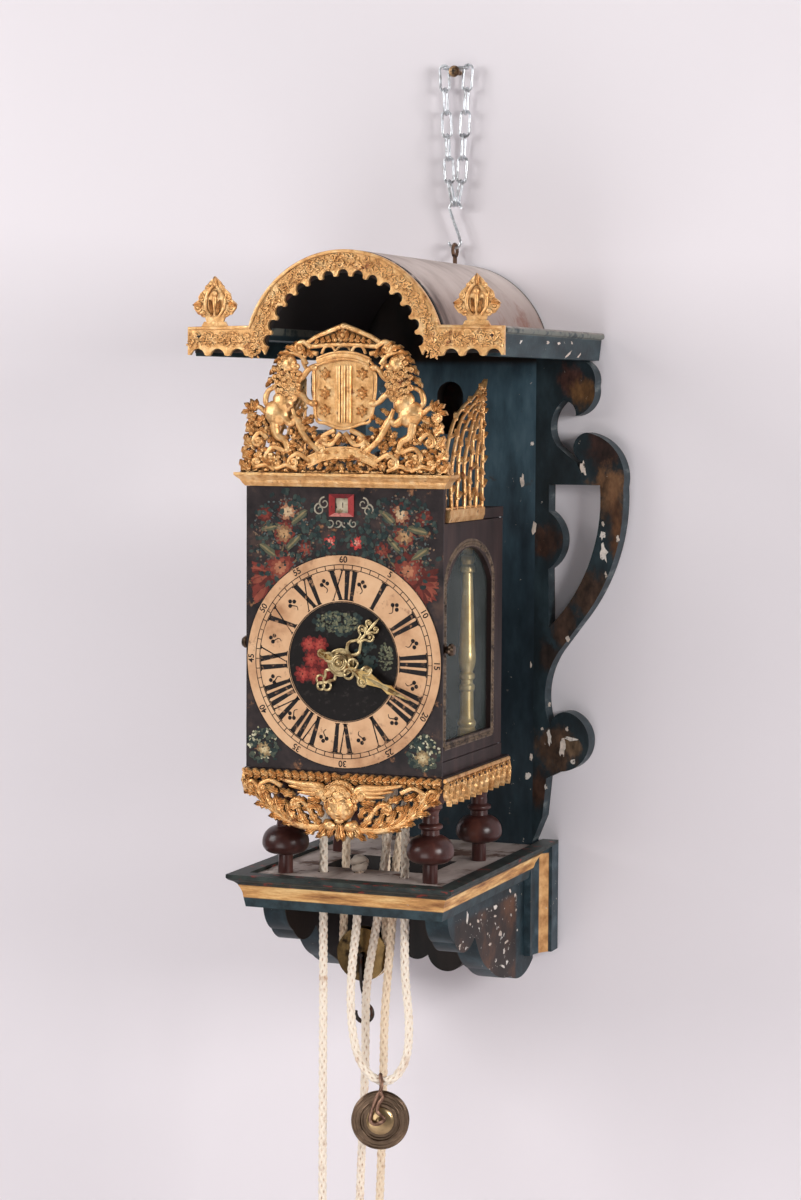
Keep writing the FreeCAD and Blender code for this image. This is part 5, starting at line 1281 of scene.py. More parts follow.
def cherub(ground):
    """A plain child's head with curled hair, between two small wings."""
    boss(ground, (0, -729), (15, 17, 10), 2.0, sides=24, rings=14)
    boss(ground, (0, -719), (13, 8, 8), 3.6, sides=20, rings=10)
    for hand in (-1, 1):
        boss(ground, (hand * 7.2, -734), (6.2, 5.6, 3.4), 7.4, sides=16)
        boss(ground, (hand * 5.8, -726), (3.4, 1.5, 1.5), 11.0)
        brow = [(hand * 2, -723), (hand * 6, -721.4), (hand * 10, -723.4)]
        stem(ground, smooth(brow, 4), (1.4, 2, 1), 11.0)
        boss(ground, (hand * 15, -730), (2.6, 4.4, 3), 3.0)
        for count, radius, lift, start, sweep in ((8, 15.5, 4.0, 2, 96), (6, 11.5, 8.0, 30, 66)):
            for k in range(count):
                angle = math.radians(start + sweep * k / (count - 1))
                place = (hand * radius * math.cos(angle), -724 + 1.06 * radius * math.sin(angle))
                boss(ground, place, (3.8, 3.6, 3.4), lift, sides=9)
                stem(ground, volute(place, 3.0, 60 * k, hand * 1.3), (1.8, 1.2), lift + 2.8, sides=6)
        for row, (reach, tip) in enumerate(((63, -707), (54, -713), (45, -719), (35, -724))):
            feather = [(14, -718 - row), (22, -712 - 3 * row), (0.65 * reach, -711 - 4 * row), (reach, tip)]
            line = smooth([(hand * u, v) for u, v in feather])
            stem(ground, line, (8, 8.5, 7, 2), 3.2 - 0.7 * row)
        boss(ground, (hand * 20, -718), (8, 7, 5), 2.5, hand * 20)
    stem(ground, [(0, -724), (0, -728.5), (0, -732)], (1.8, 2.8, 4.4), 11.4)
    boss(ground, (0, -737), (4.4, 1.4, 1.8), 10.2)
    boss(ground, (0, -739.8), (3.4, 1.3, 1.6), 9.6)
    boss(ground, (0, -743.5), (5, 3.2, 3.4), 6.4)


def apron_side(ground):
    """One half of the apron: a scroll of acanthus under the wing, and the leafy top rail."""
    for k in range(12):
        at = 1 + 8.3 * k
        leaf(ground, (at, -705), (at + 10, -699.5), 7.5, 0.15, 2, 1.5, 2.4)
        leaf(ground, (at, -703), (at + 9, -708.5), 6, -0.15, 2, 1.0, 2.0)
    stem(ground, [(0, -704), (50, -704), (101, -703)], 6, 0.0, 0.8)
    sweep = smooth([(10, -750), (30, -752), (50, -749), (68, -740), (84, -727), (97, -718)])
    stem(ground, sweep, (8, 8, 8, 6.5, 5), 1.0)
    for root, tip, width, bend in (
        ((20, -750), (32, -731), 11, -0.25),
        ((32, -751), (44, -731), 12, -0.25),
        ((42, -750), (56, -728), 13, -0.25),
        ((54, -746), (69, -722), 13, -0.25),
        ((64, -741), (79, -717), 13, -0.25),
        ((76, -733), (90, -708), 12, -0.2),
        ((86, -724), (100, -706), 11, -0.2),
        ((46, -750), (62, -751), 9, 0.2),
        ((60, -746), (76, -744), 10, 0.2),
        ((74, -736), (91, -733), 10, 0.2),
        ((88, -724), (102, -722), 9, 0.2),
        ((20, -742), (30, -726), 10, 0.2),
        ((14, -748), (26, -762), 11, -0.2),
        ((26, -751), (38, -758), 10, -0.2),
        ((94, -716), (103, -709), 8, 0.1),
        ((20, -726), (36, -729), 10, 0.2),
        ((22, -732), (41, -737), 11, 0.25),
        ((36, -726), (52, -724), 10, -0.2),
        ((40, -734), (58, -736), 11, 0.25),
        ((48, -722), (64, -716), 10, -0.2),
        ((56, -730), (70, -733), 10, 0.2),
        ((64, -720), (78, -712), 10, -0.2),
        ((34, -741), (50, -743), 10, -0.2),
        ((74, -722), (88, -717), 9, 0.2),
    ):
        leaf(ground, root, tip, width, bend, 3, 1.4, 3.2)
    tendril(ground, smooth([(62, -714), (74, -709), (84, -713)]), (5, 4.4, 3), 4.8, -1.3, 2.4)
    tendril(ground, smooth([(28, -742), (38, -729), (46, -726)]), (5.4, 4.6, 3), 4.8, -1.3, 2.6)
    tendril(ground, smooth([(84, -719), (92, -711), (97, -712)]), (5, 4, 2.6), 3.6, -1.2, 2.4)
    for k in range(3):
        leaf(ground, (4 * k, -745), (3 + 9.5 * k, -764 + 2.5 * k), 12, 0.1 * k, 2, 2.4, 3.0)
    boss(ground, (11, -749), (7, 5, 4.5), 4.0)


def front_apron(finish):
    """The apron under the dial: leaf scrolls on both sides of a winged head."""
    sculpt = Sculpt()
    ground = front_ground(sculpt, APRON_FACE)
    for half in (ground, ground.mirrored()):
        apron_side(half)
    cherub(ground)
    piece = sculpt.piece("apron_ornament", finish)
    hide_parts("front_apron")


def side_aprons(finish):
    """A fringe along each side of the plinth: a rail, small arches and pointed tassels of leaves."""
    sculpt = Sculpt()
    start = -304.5
    pitch = 17.0
    count = 11
    for hand in (1, -1):
        ground = side_ground(sculpt, PLINTH_SIDE, hand)
        stem(ground, [(-313, -701), (-220, -701), (-127, -701)], 4.4, 0.0, 0.8)
        for k in range(count):
            at = start + pitch * k
            leaf(ground, (at, -704), (at + 0.6, -726), 9.5, 0.05, 3, 0.4, 3.2)
            for side in (-1, 1):
                root = (at + 5.4 * side, -703)
                tip = (at + 3.8 * side, -720)
                leaf(ground, root, tip, 6.5, 0.1 * side, 2, -0.4, 2.6)
                stem(ground, volute((at + 4.2 * side, -706), 3.0, 90, 1.2 * side), (2.0, 1.2), 1.6)
                boss(ground, (at + 8.2 * side, -711), (1.6, 2.6, 1.8), 0.8, sides=8, rings=5)
            boss(ground, (at, -707), (1.8, 1.8, 1.8), 2.8, sides=8, rings=5)
    piece = sculpt.piece("side_fringes", finish)
    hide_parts("side_aprons")


def nail_holes(finish):
    """Dark nail heads along the fringes and at the ends of the hood's trim."""
    sculpt = Sculpt()
    start = -305
    pitch = 16.5
    count = 11
    for hand in (1, -1):
        ground = side_ground(sculpt, PLINTH_SIDE, hand)
        for k in range(count):
            boss(ground, (start + pitch * k, -705.4), (1.5, 1.5, 0.8), 2.6, sides=10, rings=5)
        boss(front_ground(sculpt, TRIM_FACE), (hand * 150, -281), (2.2, 2.2, 0.8), 0.8, sides=12, rings=5)
    sculpt.piece("nail_heads", finish)


# Chips of paint: place along and up, half width and half height, in millimetres.
WING_FLAKES = (
    (147, -410, 2.7, 8.0),
    (168, -479, 2.7, 4.2),
    (170, -497, 3.7, 9.5),
    (169, -468, 1.6, 2.6),
    (185, -483, 1.6, 3.7),
    (94, -473, 2.2, 6.3),
    (81, -425, 2.2, 5.8),
    (91, -386, 2.2, 2.1),
    (172, -520, 1.6, 3.2),
    (113, -691, 2.2, 8.5),
    (128, -702, 3.2, 8.5),
    (136, -692, 7.6, 2.1),
    (132, -682, 1.6, 2.1),
    (90, -733, 2.8, 4.2),
    (110, -744, 1.6, 2.6),
    (92, -617, 1.1, 3.2),
    (93, -714, 1.6, 3.7),
    (132, -589, 2.2, 3.7),
    (105, -683, 1.6, 1.6),
    (113, -657, 1.6, 2.1),
    (139, -716, 2.2, 2.6),
)
CHEEK_FLAKES = (
    (-227, -847, 4.0, 9.0),
    (-144, -851, 9.0, 4.0),
    (-98, -842, 4.5, 2.6),
    (-128, -881, 7.0, 4.0),
    (-115, -901, 5.0, 4.0),
    (-109, -893, 8.0, 2.4),
    (-144, -860, 6.0, 2.0),
    (-166, -874, 4.0, 2.0),
    (-159, -886, 6.0, 2.0),
    (-247, -872, 5.0, 4.0),
    (-218, -855, 4.0, 2.0),
    (-82, -849, 4.0, 2.6),
    (-78, -865, 3.0, 2.0),
    (-74, -887, 3.0, 2.0),
    (-119, -916, 11.0, 1.8),
    (-140, -906, 4.0, 3.0),
    (-195, -856, 6.0, 2.0),
)
EAVE_FLAKES = (
    (-270, -286, 4.0, 1.8),
    (-188, -285, 5.5, 2.2),
    (-154, -285, 4.4, 1.8),
    (-112, -284, 4.2, 1.4),
    (-125, -296, 15.0, 1.4),
    (-88, -296, 9.0, 1.4),
)


def flakes(finish):
    """Places where the paint has come off to the chalk ground, on wings, cheeks and eaves."""
    sculpt = Sculpt()
    board = front_ground(sculpt, BOARD_FACE)
    chalk = (tone(224, 208, 194), tone(206, 190, 176), tone(232, 222, 212))
    for x, z, wide, tall in WING_FLAKES:
        for hand in (1, -1):
            daub(board, (hand * x, z), (wide, tall), rng.uniform(-12, 12), rng.choice(chalk), 0.1, 0.4)
    for across, spots, share in ((CHEEK_SIDE, CHEEK_FLAKES, 0.65), (EAVE_SIDE, EAVE_FLAKES, 0.8)):
        for hand in (1, -1):
            for y, z, wide, tall in spots:
                size = (wide * share, tall * share)
                turn = rng.uniform(-25, 25)
                daub(side_ground(sculpt, across, hand), (y, z), size, turn, rng.choice(chalk), 0.1, 0.4)
    sculpt.piece("paint_flakes", finish)


def slot_ground(finish):
    """A black plate behind the backboard's slot: painted shade for the dark space seen through it."""
    sculpt = Sculpt()
    half, low, high = 14.4, -377.8, -322.2
    outline = [(-half, low), (half, low), (half, high), (-half, high)]
    slab(front_ground(sculpt, 0.0), outline, 0.3, 0.9)
    sculpt.piece("slot_ground", finish)


def screw_cross(finish):
    """The cross cut in the wall screw's head, drawn as a thin black cross: painted shade for the cut's
    recess.
    """
    sculpt = Sculpt()
    ground = front_ground(sculpt, SCREW_FACE)
    reach = 3.0
    half = 0.6
    for outline in (
        [(-reach, -half), (reach, -half), (reach, half), (-reach, half)],
        [(-half, -reach), (half, -reach), (half, reach), (-half, reach)],
    ):
        slab(ground, outline, -0.1, 0.15)
    sculpt.piece("screw_cross", finish)


def trim_lip():
    """The trim's upper edge: along a wing, over the arch, and along the other wing."""
    outer = 100.8
    spring = math.asin((-272.6 - HOOD_CENTRE) / outer)
    steps = 48
    arch = []
    for k in range(steps + 1):
        angle = spring + (math.pi - 2 * spring) * k / steps
        arch.append(polar((0, HOOD_CENTRE), outer, angle))
    return [(160.5, -273.6), *arch, (-160.5, -273.6)]


def trim_band(share):
    """Where the relief runs: the middle of the band, and the direction outwards, at a share along it."""
    wing = 66.0
    middle = 92.0
    level = -283.5
    arc = math.pi * middle
    at = share * (2 * wing + arc)
    if at < wing:
        return (162 - at, level), (0, 1)
    if at > wing + arc:
        return (-96 - (at - wing - arc), level), (0, 1)
    angle = (at - wing) / middle
    out = (math.cos(angle), math.sin(angle))
    return (out[0] * middle, HOOD_CENTRE + out[1] * middle), out


def trim_grains(ground):
    """A close cast grain over the whole band."""
    grains = 900
    for k in range(grains):
        middle, out = trim_band((k + rng.random()) / grains)
        across = rng.uniform(-7.2, 6.0)
        spot = off_line(middle, out, across)
        size = rng.uniform(0.9, 1.7)
        boss(ground, spot, (size * 1.5, size * 0.8, size), 0.1, rng.uniform(0, 180), 6, 4)


def trim_relief(finish):
    """Raised lip, small scrolls and close grains on the hood's gilt front."""
    sculpt = Sculpt()
    ground = front_ground(sculpt, TRIM_FACE)
    stem(ground, trim_lip(), 3.4, 0.4, 0.8)
    trim_grains(ground)
    scrolls = 64
    for k in range(scrolls):
        middle, out = trim_band((k + 0.5) / scrolls)
        centre = off_line(middle, out, rng.uniform(-4, 4))
        turn = 1 if k % 2 else -1
        curl = volute(centre, rng.uniform(2.4, 3.4), rng.uniform(0, 360), 1.3 * turn)
        stem(ground, curl, (2.0, 1.2), 0.6)
        boss(ground, centre, (1.3, 1.3, 1.4), 0.8, sides=8, rings=5)
    sculpt.piece("hood_trim_relief", finish)


def finial(ground):
    """A filled lozenge of scrolls with a pointed top, on a stepped foot."""
    slab(ground, [(-14, -272), (14, -272), (11, -267), (-11, -267)], -1.6, 1.8)
    half = [(9, -267), (11, -262), (18, -260), (22.5, -254), (22, -249)]
    half += [(17.5, -246), (16, -240), (10, -235), (6, -229)]
    slab(ground, [*half, (0, -223.5), *((-u, v) for u, v in reversed(half))], -1.6, 0.6)
    for hand in (-1, 1):
        arch = [(hand * 4, -262), (hand * 9.5, -254), (hand * 9, -243), (hand * 4, -235), (0, -232.5)]
        stem(ground, smooth(arch), (3, 4, 4, 3), 0.5)
        for place, radius, start in (
            ((18, -253.5), 3.6, 200),
            ((14.5, -243.5), 3.2, 120),
            ((12, -259), 3.0, 220),
            ((8, -234), 2.6, 100),
        ):
            centre = (hand * place[0], place[1])
            curl = volute(centre, radius, start if hand > 0 else 180 - start, hand * 1.4)
            stem(ground, curl, (2.6, 1.6), 0.6)
            boss(ground, centre, (2, 2, 2), 0.6, sides=8, rings=5)
        leaf(ground, (hand * 3, -261), (hand * 5.5, -246), 5, 0.1 * hand, 2, 0.8, 2.2)
        leaf(ground, (hand * 13, -250), (hand * 23.5, -251), 7, 0, 2, 0.4, 2.0)
    stem(ground, [(0, -262), (0, -250), (0, -239)], (3, 5, 2.5), 0.7)
    boss(ground, (0, -240), (3.4, 3.4, 3), 0.9)
    leaf(ground, (0, -235), (0, -223.5), 7, 0, 2, 0.6, 2.2)


def finials(finish):
    """The two ornaments that stand on the ends of the hood."""
    sculpt = Sculpt()
    for at in (-134, 134):
        finial(Ground(sculpt, lambda u, v, h, at=at: (at + u, FINIAL_FACE - h, v)))
    piece = sculpt.piece("finial_palmettes", finish)
    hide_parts("hood_finials")


# Dial and hands

# Places and sizes in millimetres, the hands' angles in degrees clockwise from twelve.
DIAL_HEIGHT = -591.5
DIAL_FACE = -313.0
RING_OUTER = 100.4
RING_INNER = 56.0
RING_TALL = 1.022
RING_LIFT = 0.7
MARK_LIFT = 0.82
TRACK_OUTER = 91.2
TRACK_INNER = 87.0
NUMERAL_FOOT = 58.5
NUMERAL_HEAD = 86.0
DIGIT_RADIUS = 95.8
DIGIT_HEIGHT = 8.4
DIGIT_WEIGHT = 0.14
HOUR_DEPTH = -318.2
HOUR_ANGLE = 41.7
MINUTE_DEPTH = -323.2
MINUTE_ANGLE = 114.6
INK = tone(30, 25, 26)
ROMAN = ("XII", "I", "II", "III", "IIII", "V", "VI", "VII", "VIII", "IX", "X", "XI")


def dial_ground(sculpt):
    """The dial's face, measured from the hands' axis: the painted ring is a little taller than wide."""
    return Ground(sculpt, lambda u, v, h: (u, DIAL_FACE - h, DIAL_HEIGHT + v * RING_TALL))


def plate_ground(sculpt):
    """The dial plate's face in frame coordinates, for the corner paintings."""
    return front_ground(sculpt, DIAL_FACE)


def around(radius, clockwise):
    """A point on the dial, the angle in degrees clockwise from twelve."""
    angle = math.radians(clockwise)
    return (radius * math.sin(angle), radius * math.cos(angle))


def annulus(ground, inner, outer, low, high, tint=WHITE):
    """A flat ring between two heights."""
    steps = 120
    rings = []
    for k in range(steps + 1):
        near = around(inner, 360 * k / steps)
        far = around(outer, 360 * k / steps)
        rings.append([(*near, low), (*far, low), (*far, high), (*near, high)])
    ground.add(*skin(rings, False), tint)


def roman_bars(letters):
    """Bars of a Roman number as (foot, head, width), across positions in millimetres at mid height."""
    thick = 4.3
    thin = 1.2
    widths = {"I": 6.6, "V": 13.0, "X": 14.0}
    bars = []
    at = -sum(widths[letter] for letter in letters) / 2
    for letter in letters:
        wide = widths[letter]
        low = at + 1.2
        high = at + wide - 1.2
        if letter == "I":
            bars.append((at + wide / 2, at + wide / 2, thick))
        elif letter == "V":
            bars.append((at + wide / 2, low + thick / 2, thick))
            bars.append((at + wide / 2, high, thin))
        else:
            bars.append((high - thick / 2, low + thick / 2, thick))
            bars.append((low, high, thin))
        at += wide
    return bars


def numeral(ground, letters, clockwise):
    """A Roman number whose bars run towards the dial's centre."""
    middle = (NUMERAL_FOOT + NUMERAL_HEAD) / 2

    def spot(across, radius):
        return around(radius, clockwise + math.degrees(across / middle))

    for foot, head, width in roman_bars(letters):
        outline = [
            spot(foot - width / 2, NUMERAL_FOOT),
            spot(head - width / 2, NUMERAL_HEAD),
            spot(head + width / 2, NUMERAL_HEAD),
            spot(foot + width / 2, NUMERAL_FOOT),
        ]
        slab(ground, outline[::-1], RING_LIFT, MARK_LIFT, INK)
        for across, radius in ((foot, NUMERAL_FOOT), (head, NUMERAL_HEAD)):
            half = width / 2 + 1.0
            serif = [spot(across - half, radius), spot(across + half, radius)]
            slab(ground, stroke(serif, 0.9), RING_LIFT, MARK_LIFT, INK)


def digits(ground, text, clockwise, radius, height):
    """A number in the outer band, its head outwards."""
    curve = bpy.data.curves.new("digits", "FONT")
    curve.body = text
    curve.size = height
    curve.offset = DIGIT_WEIGHT
    curve.align_x = "CENTER"
    curve.align_y = "CENTER"
    points, faces = meshed(curve)
    place = around(radius, clockwise)
    ground.add([(*turned(place, u, v, -clockwise), MARK_LIFT) for u, v, _ in points], faces, INK)


def trefoil(ground, clockwise):
    """The mark at the half hour: three round leaves and a wavy stalk."""
    centre = 75.5
    for turn, out in ((-2.3, -0.6), (2.3, -0.6), (0, 2.4)):
        place = around(centre + out, clockwise + turn)
        slab(ground, circle(place, 2.0, 10), RING_LIFT, MARK_LIFT, INK)
    shares = (0, 0.2, 0.4, 0.6, 0.8, 1.0)
    stalk = [around(centre - 9 + 9 * t, clockwise + 1.4 * math.sin(5 * t)) for t in shares]
    slab(ground, stroke(smooth(stalk, 3), (0.6, 1.2)), RING_LIFT, MARK_LIFT, INK)


def dial_marks(finish):
    """Circles, minute marks, hour numbers and half-hour marks."""
    sculpt = Sculpt()
    ground = dial_ground(sculpt)
    lines = ((RING_OUTER, 0.8), (TRACK_OUTER, 0.7), (TRACK_INNER, 0.7), (RING_INNER + 0.6, 0.8))
    for radius, width in lines:
        annulus(ground, radius - width / 2, radius + width / 2, RING_LIFT, MARK_LIFT, INK)
    for minute in range(60):
        tick = [around(TRACK_INNER, 6 * minute), around(TRACK_OUTER, 6 * minute)]
        slab(ground, stroke(tick, 0.75), RING_LIFT, MARK_LIFT, INK)
    for hour, letters in enumerate(ROMAN):
        numeral(ground, letters, 30 * hour)
        trefoil(ground, 30 * hour + 15)
        digits(ground, str(5 * hour or 60), 30 * hour, DIGIT_RADIUS, DIGIT_HEIGHT)
    sculpt.piece("dial_marks", finish)


def chapter_ring(finish):
    """The pale ring under the hour numbers."""
    sculpt = Sculpt()
    annulus(dial_ground(sculpt), RING_INNER, RING_OUTER, PAINT_FOOT, RING_LIFT)
    sculpt.piece("chapter_ring", finish)


def blossom(ground, centre, radius, tints, petals=9):
    """A full flower: rings of petals from dark outside to pale inside."""
    for ring, tint in enumerate(tints):
        reach = radius * (1 - ring / (len(tints) + 0.6))
        for k in range(petals - ring):
            angle = 360 * (k + 0.37 * ring) / (petals - ring)
            place = polar(centre, reach * 0.62, math.radians(angle))
            daub(ground, place, (reach * 0.46, reach * 0.3), angle, tint, 0.26 + 0.05 * ring + 0.004 * k)


DATE_FRAME = (-15.0, -452.5, 10.6, -431.0)


def over_date(place, reach):
    """Whether a brush mark would lie over the date window's frame."""
    left, low, right, high = DATE_FRAME
    return left - reach < place[0] < right + reach and low - reach < place[1] < high + reach


def stipple(ground, centre, size, tints, count, dot):
    """A cloud of small dabs inside an oval, kept off the date window."""
    for k in range(count):
        reach = math.sqrt(rng.random())
        angle = rng.uniform(0, FULL_TURN)
        across = size[0] * reach * math.cos(angle)
        up = size[1] * reach * math.sin(angle)
        place = (centre[0] + across, centre[1] + up)
        half = dot * rng.uniform(0.6, 1.3)
        if over_date(place, half):
            continue
        daub(ground, place, (half, half * 0.7), rng.uniform(0, 180), rng.choice(tints), 0.24 + 0.0008 * k)


# Colours of the dial's painting.
RUST = (tone(92, 40, 34), tone(122, 54, 45), tone(144, 74, 58), tone(178, 116, 86))
ROSE_REDS = (tone(112, 36, 34), tone(158, 56, 50), tone(178, 76, 64))
PINKS = (tone(176, 54, 52), tone(206, 84, 76), tone(226, 150, 132))
STRAW = (tone(138, 116, 84), tone(180, 154, 112), tone(206, 186, 146))
DRY_STROKES = (tone(116, 90, 76), tone(92, 78, 72), tone(138, 112, 90), tone(88, 98, 98))
DARK_GREENS = (tone(36, 48, 48), tone(48, 62, 60), tone(62, 74, 68))
LEAF_GREENS = (tone(44, 56, 54), tone(58, 70, 64), tone(76, 82, 70), tone(40, 50, 50))
BUSH_TONES = (tone(104, 104, 82), tone(128, 126, 98), tone(84, 90, 74))
PALE_DOTS = (tone(196, 190, 160), tone(170, 164, 132), tone(132, 134, 110), tone(214, 206, 178))


def upper_corner(ground, hand):
    """A generic spray: a large blossom with sweeping petals low at the edge, paler flowers above."""
    for line in (
        [(hand * 84, -528), (hand * 72, -505), (hand * 62, -480), (hand * 62, -455)],
        [(hand * 74, -508), (hand * 52, -498), (hand * 42, -482)],
    ):
        slab(ground, stroke(smooth(line), (2.4, 1.8, 1.0)), PAINT_FOOT, 0.3, tone(112, 92, 68))
    sweeping_petals = 70
    for _ in range(sweeping_petals):
        swing = rng.uniform(-0.4, 2.4)
        reach = rng.uniform(6, 30)
        place = (hand * min(74 + reach * 0.8 * math.cos(swing), 88), -510 - reach * math.sin(swing) * 0.9)
        turn = math.degrees(math.atan2(-math.sin(swing), hand * math.cos(swing)))
        daub(ground, place, (9, 2.2), turn, rng.choice(RUST[:3]), 0.26)
    blossom(ground, (hand * 66, -503), 17, RUST, 11)
    blossom(ground, (hand * 62, -470), 11, (RUST[1], tone(150, 108, 76), tone(186, 146, 104)), 9)
    blossom(ground, (hand * 58, -449), 11, (RUST[0], tone(168, 120, 90), tone(202, 172, 136)), 9)
    stipple(ground, (hand * 62, -472), (32, 42), DRY_STROKES, 240, 1.2)
    blossom(ground, (hand * 40, -484), 8, RUST[:3], 7)
    blossom(ground, (hand * 82, -452), 8, RUST[:2], 7)
    for root, tip in (
        ((70, -492), (88, -480)),
        ((60, -486), (44, -470)),
        ((66, -462), (84, -466)),
        ((52, -458), (40, -448)),
    ):
        middle = (hand * (root[0] + tip[0]) / 2, (root[1] + tip[1]) / 2)
        turn = math.degrees(math.atan2(tip[1] - root[1], hand * (tip[0] - root[0])))
        daub(ground, middle, (11, 3.6), turn, tone(92, 92, 72), 0.36)
        daub(ground, middle, (9, 1.0), turn, tone(140, 124, 90), 0.46)


def lower_corner(ground, hand):
    """A bunch of small pale flowers with one rose."""
    stipple(ground, (hand * 82, -676), (17, 18), LEAF_GREENS, 70, 2.6)
    stipple(ground, (hand * 84, -674), (15, 17), PALE_DOTS, 55, 1.5)
    blossom(ground, (hand * 82, -680), 7.5, STRAW, 8)


def dial_centre(ground):
    """The painted middle: a dark field with a pale bush, a bed of red roses and a small pale bush."""
    slab(ground, circle((0, 0), RING_INNER, 72), PAINT_FOOT, 0.2, tone(22, 17, 16))
    stipple(ground, (-6, 36), (27, 13), DARK_GREENS, 70, 2.6)
    stipple(ground, (-6, 37), (22, 9.5), BUSH_TONES, 190, 1.3)
    stipple(ground, (44, 6), (7.5, 13), BUSH_TONES, 90, 1.2)
    stipple(ground, (24, 2), (12, 20), DARK_GREENS, 60, 2.6)
    for row, height in enumerate((15, 1, -13)):
        for column in range(3):
            at = -47 + 11.5 * column + 2.5 * row
            if math.hypot(at - 6, height) < 50:
                blossom(ground, (at, height), 8.5, ROSE_REDS, 8)


def date_frame(ground):
    """The bevelled red frame of the date window, each bevel its own tint as painted light: the lower bevel
    pale, the upper one dark, the sides between.
    """
    inner = (-9.0, -449.0, 4.4, -435.0)
    corners = ((0, 1), (2, 1), (2, 3), (0, 3))
    # Painted light and shade: lower bevel pale, right side mid red, upper bevel dark, left side deep red.
    tints = (tone(196, 120, 112), tone(168, 62, 62), tone(112, 32, 36), tone(146, 46, 46))
    for k in range(4):
        k_next = (k + 1) % 4
        points = []
        for box, lift in ((inner, 0.2), (DATE_FRAME, 0.2), (DATE_FRAME, 1.2), (inner, 0.6)):
            points.append((box[corners[k][0]], box[corners[k][1]], lift))
            points.append((box[corners[k_next][0]], box[corners[k_next][1]], lift))
        faces = [(0, 1, 3, 2), (2, 3, 5, 4), (4, 5, 7, 6), (6, 7, 1, 0)]
        ground.add(points, faces, tints[k])


def dial_painting(finish):
    """All that is painted on the dial besides the ring of hours."""
    sculpt = Sculpt()
    ground = plate_ground(sculpt)
    for at in (-58, 0, 58):
        stipple(ground, (at, -478), (40, 50), DARK_GREENS, 190, 2.6)
    for hand in (-1, 1):
        upper_corner(ground, hand)
        lower_corner(ground, hand)
        blossom(ground, (hand * 13.7, -477), 6.6, PINKS, 7)
        for at, lift in ((20, -440), (25, -446)):
            scroll = volute((hand * at, lift), 6, 90, hand * -1.2)
            slab(ground, stroke(scroll, (1.6, 0.8)), PAINT_FOOT, 0.4, tone(168, 158, 140))
    for at in (-12, -4, 4, 12):
        loop = volute((at - 2, -459), 4.4, 40 * at, 1.1)
        slab(ground, stroke(loop, (1.5, 0.8)), PAINT_FOOT, 0.4, tone(158, 150, 134))
    date_frame(ground)
    dial_centre(dial_ground(sculpt))
    sculpt.piece("dial_painting", finish)


def date_numbers(finish):
    """The days of the month round the date disc, upright where they pass the window."""
    sculpt = Sculpt()
    days = 31
    radius = 42.0
    height = 7.0
    middle = (-2.3, -484.0)
    face = -310.0
    near = 0.1
    ground = Ground(sculpt, lambda u, v, h: (middle[0] + u, face - near * h, middle[1] + v))
    for day in range(days):
        digits(ground, str(day + 1), 360 * day / days, radius, height)
    sculpt.piece("date_numbers", finish, "date_disc")


def hand_ground(sculpt, depth, clockwise):
    """A hand's own ground: v runs towards its tip."""

    def place(u, v, h):
        x, z = turned((0, DIAL_HEIGHT), u, v, -clockwise)
        return (x, depth - h, z)

    return Ground(sculpt, place)


def hub(ground, radius, lift):
    """The round middle of a hand, turned with two beads."""
    slab(ground, circle((0, 0), radius, 36), -0.6, lift)
    for share in (0.95, 0.66, 0.36):
        ringlet(ground.raised(lift), (0, 0), radius * share, 1.8)


def hour_hand(finish):
    """The pierced hour hand with its tail."""
    sculpt = Sculpt()
    ground = hand_ground(sculpt, HOUR_DEPTH, HOUR_ANGLE)
    hub(ground, 13.6, 1.0)
    for half in (ground, ground.mirrored()):
        stem(half, smooth([(3, 12), (7, 19), (4, 25), (1.5, 29)]), (3.6, 3, 2.4), 0.2, 0.7)
        tendril(half, smooth([(1.5, 28), (3, 33), (7, 35)]), (2.8, 2.4, 1.8), 4.2, 1.1, 0.2)
        tendril(half, smooth([(1, 38), (3, 43), (6, 45)]), (2.6, 2.2, 1.6), 3.2, 1.1, 0.2)
        stem(half, smooth([(3, -12), (6, -17), (2.5, -22), (2, -26)]), (3.4, 2.8, 2.2), 0.2, 0.7)
        ringlet(half, (4.6, -27), 4.0)
    ringlet(ground, (0, -31.5), 3.6)
    stem(ground, [(0, 26), (0, 42), (0, 50), (0, 58)], (2.6, 2.6, 3.2, 0.8), 0.2, 0.7)
    piece = sculpt.piece("hour_hand_work", finish, "hour_hand")
    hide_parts("hour_hand")


def minute_hand(finish):
    """The pierced minute hand with its tail."""
    sculpt = Sculpt()
    ground = hand_ground(sculpt, MINUTE_DEPTH, MINUTE_ANGLE)
    hub(ground, 7.5, 0.8)
    boss(ground, (0, 0), (3, 3, 2), 1.4)
    for half in (ground, ground.mirrored()):
        ringlet(half, (5.2, 13), 4.8, 2.4)
        tendril(half, smooth([(1, 17), (4, 23), (8, 25)]), (2.8, 2.4, 1.8), 3.6, 1.1, 0.2)
        tendril(half, smooth([(1, 27), (3, 32), (7, 33)]), (2.6, 2.2, 1.6), 3.0, -1.1, 0.2)
        stem(half, smooth([(2, -7), (4, -12), (2, -17), (1, -22)]), (2.8, 2.4, 1.8), 0.2, 0.7)
    ringlet(ground, (0, -20), 3.4)
    shaft = [(0, 8), (0, 26), (0, 36), (0, 42), (0, 62), (0, 79)]
    stem(ground, shaft, (2.4, 2.6, 3.2, 5.2, 4.6, 0.9), 0.2, 0.5)
    piece = sculpt.piece("minute_hand_work", finish, "minute_hand")


# Ropes

ROPE_THICK = 8.4
ROPE_END = -1165.0
END_KNOT = 4.4
END_KNOT_RISE = 4
TOP_KNOT = 6.2
TOP_KNOT_RISE = 2


def half_turn(centre, radius, depth):
    """Points over the top of a wheel, from its right side to its left."""
    steps = 8
    points = []
    for k in range(steps + 1):
        x, z = polar(centre, radius, math.pi * k / steps)
        points.append((x, depth, z))
    return points


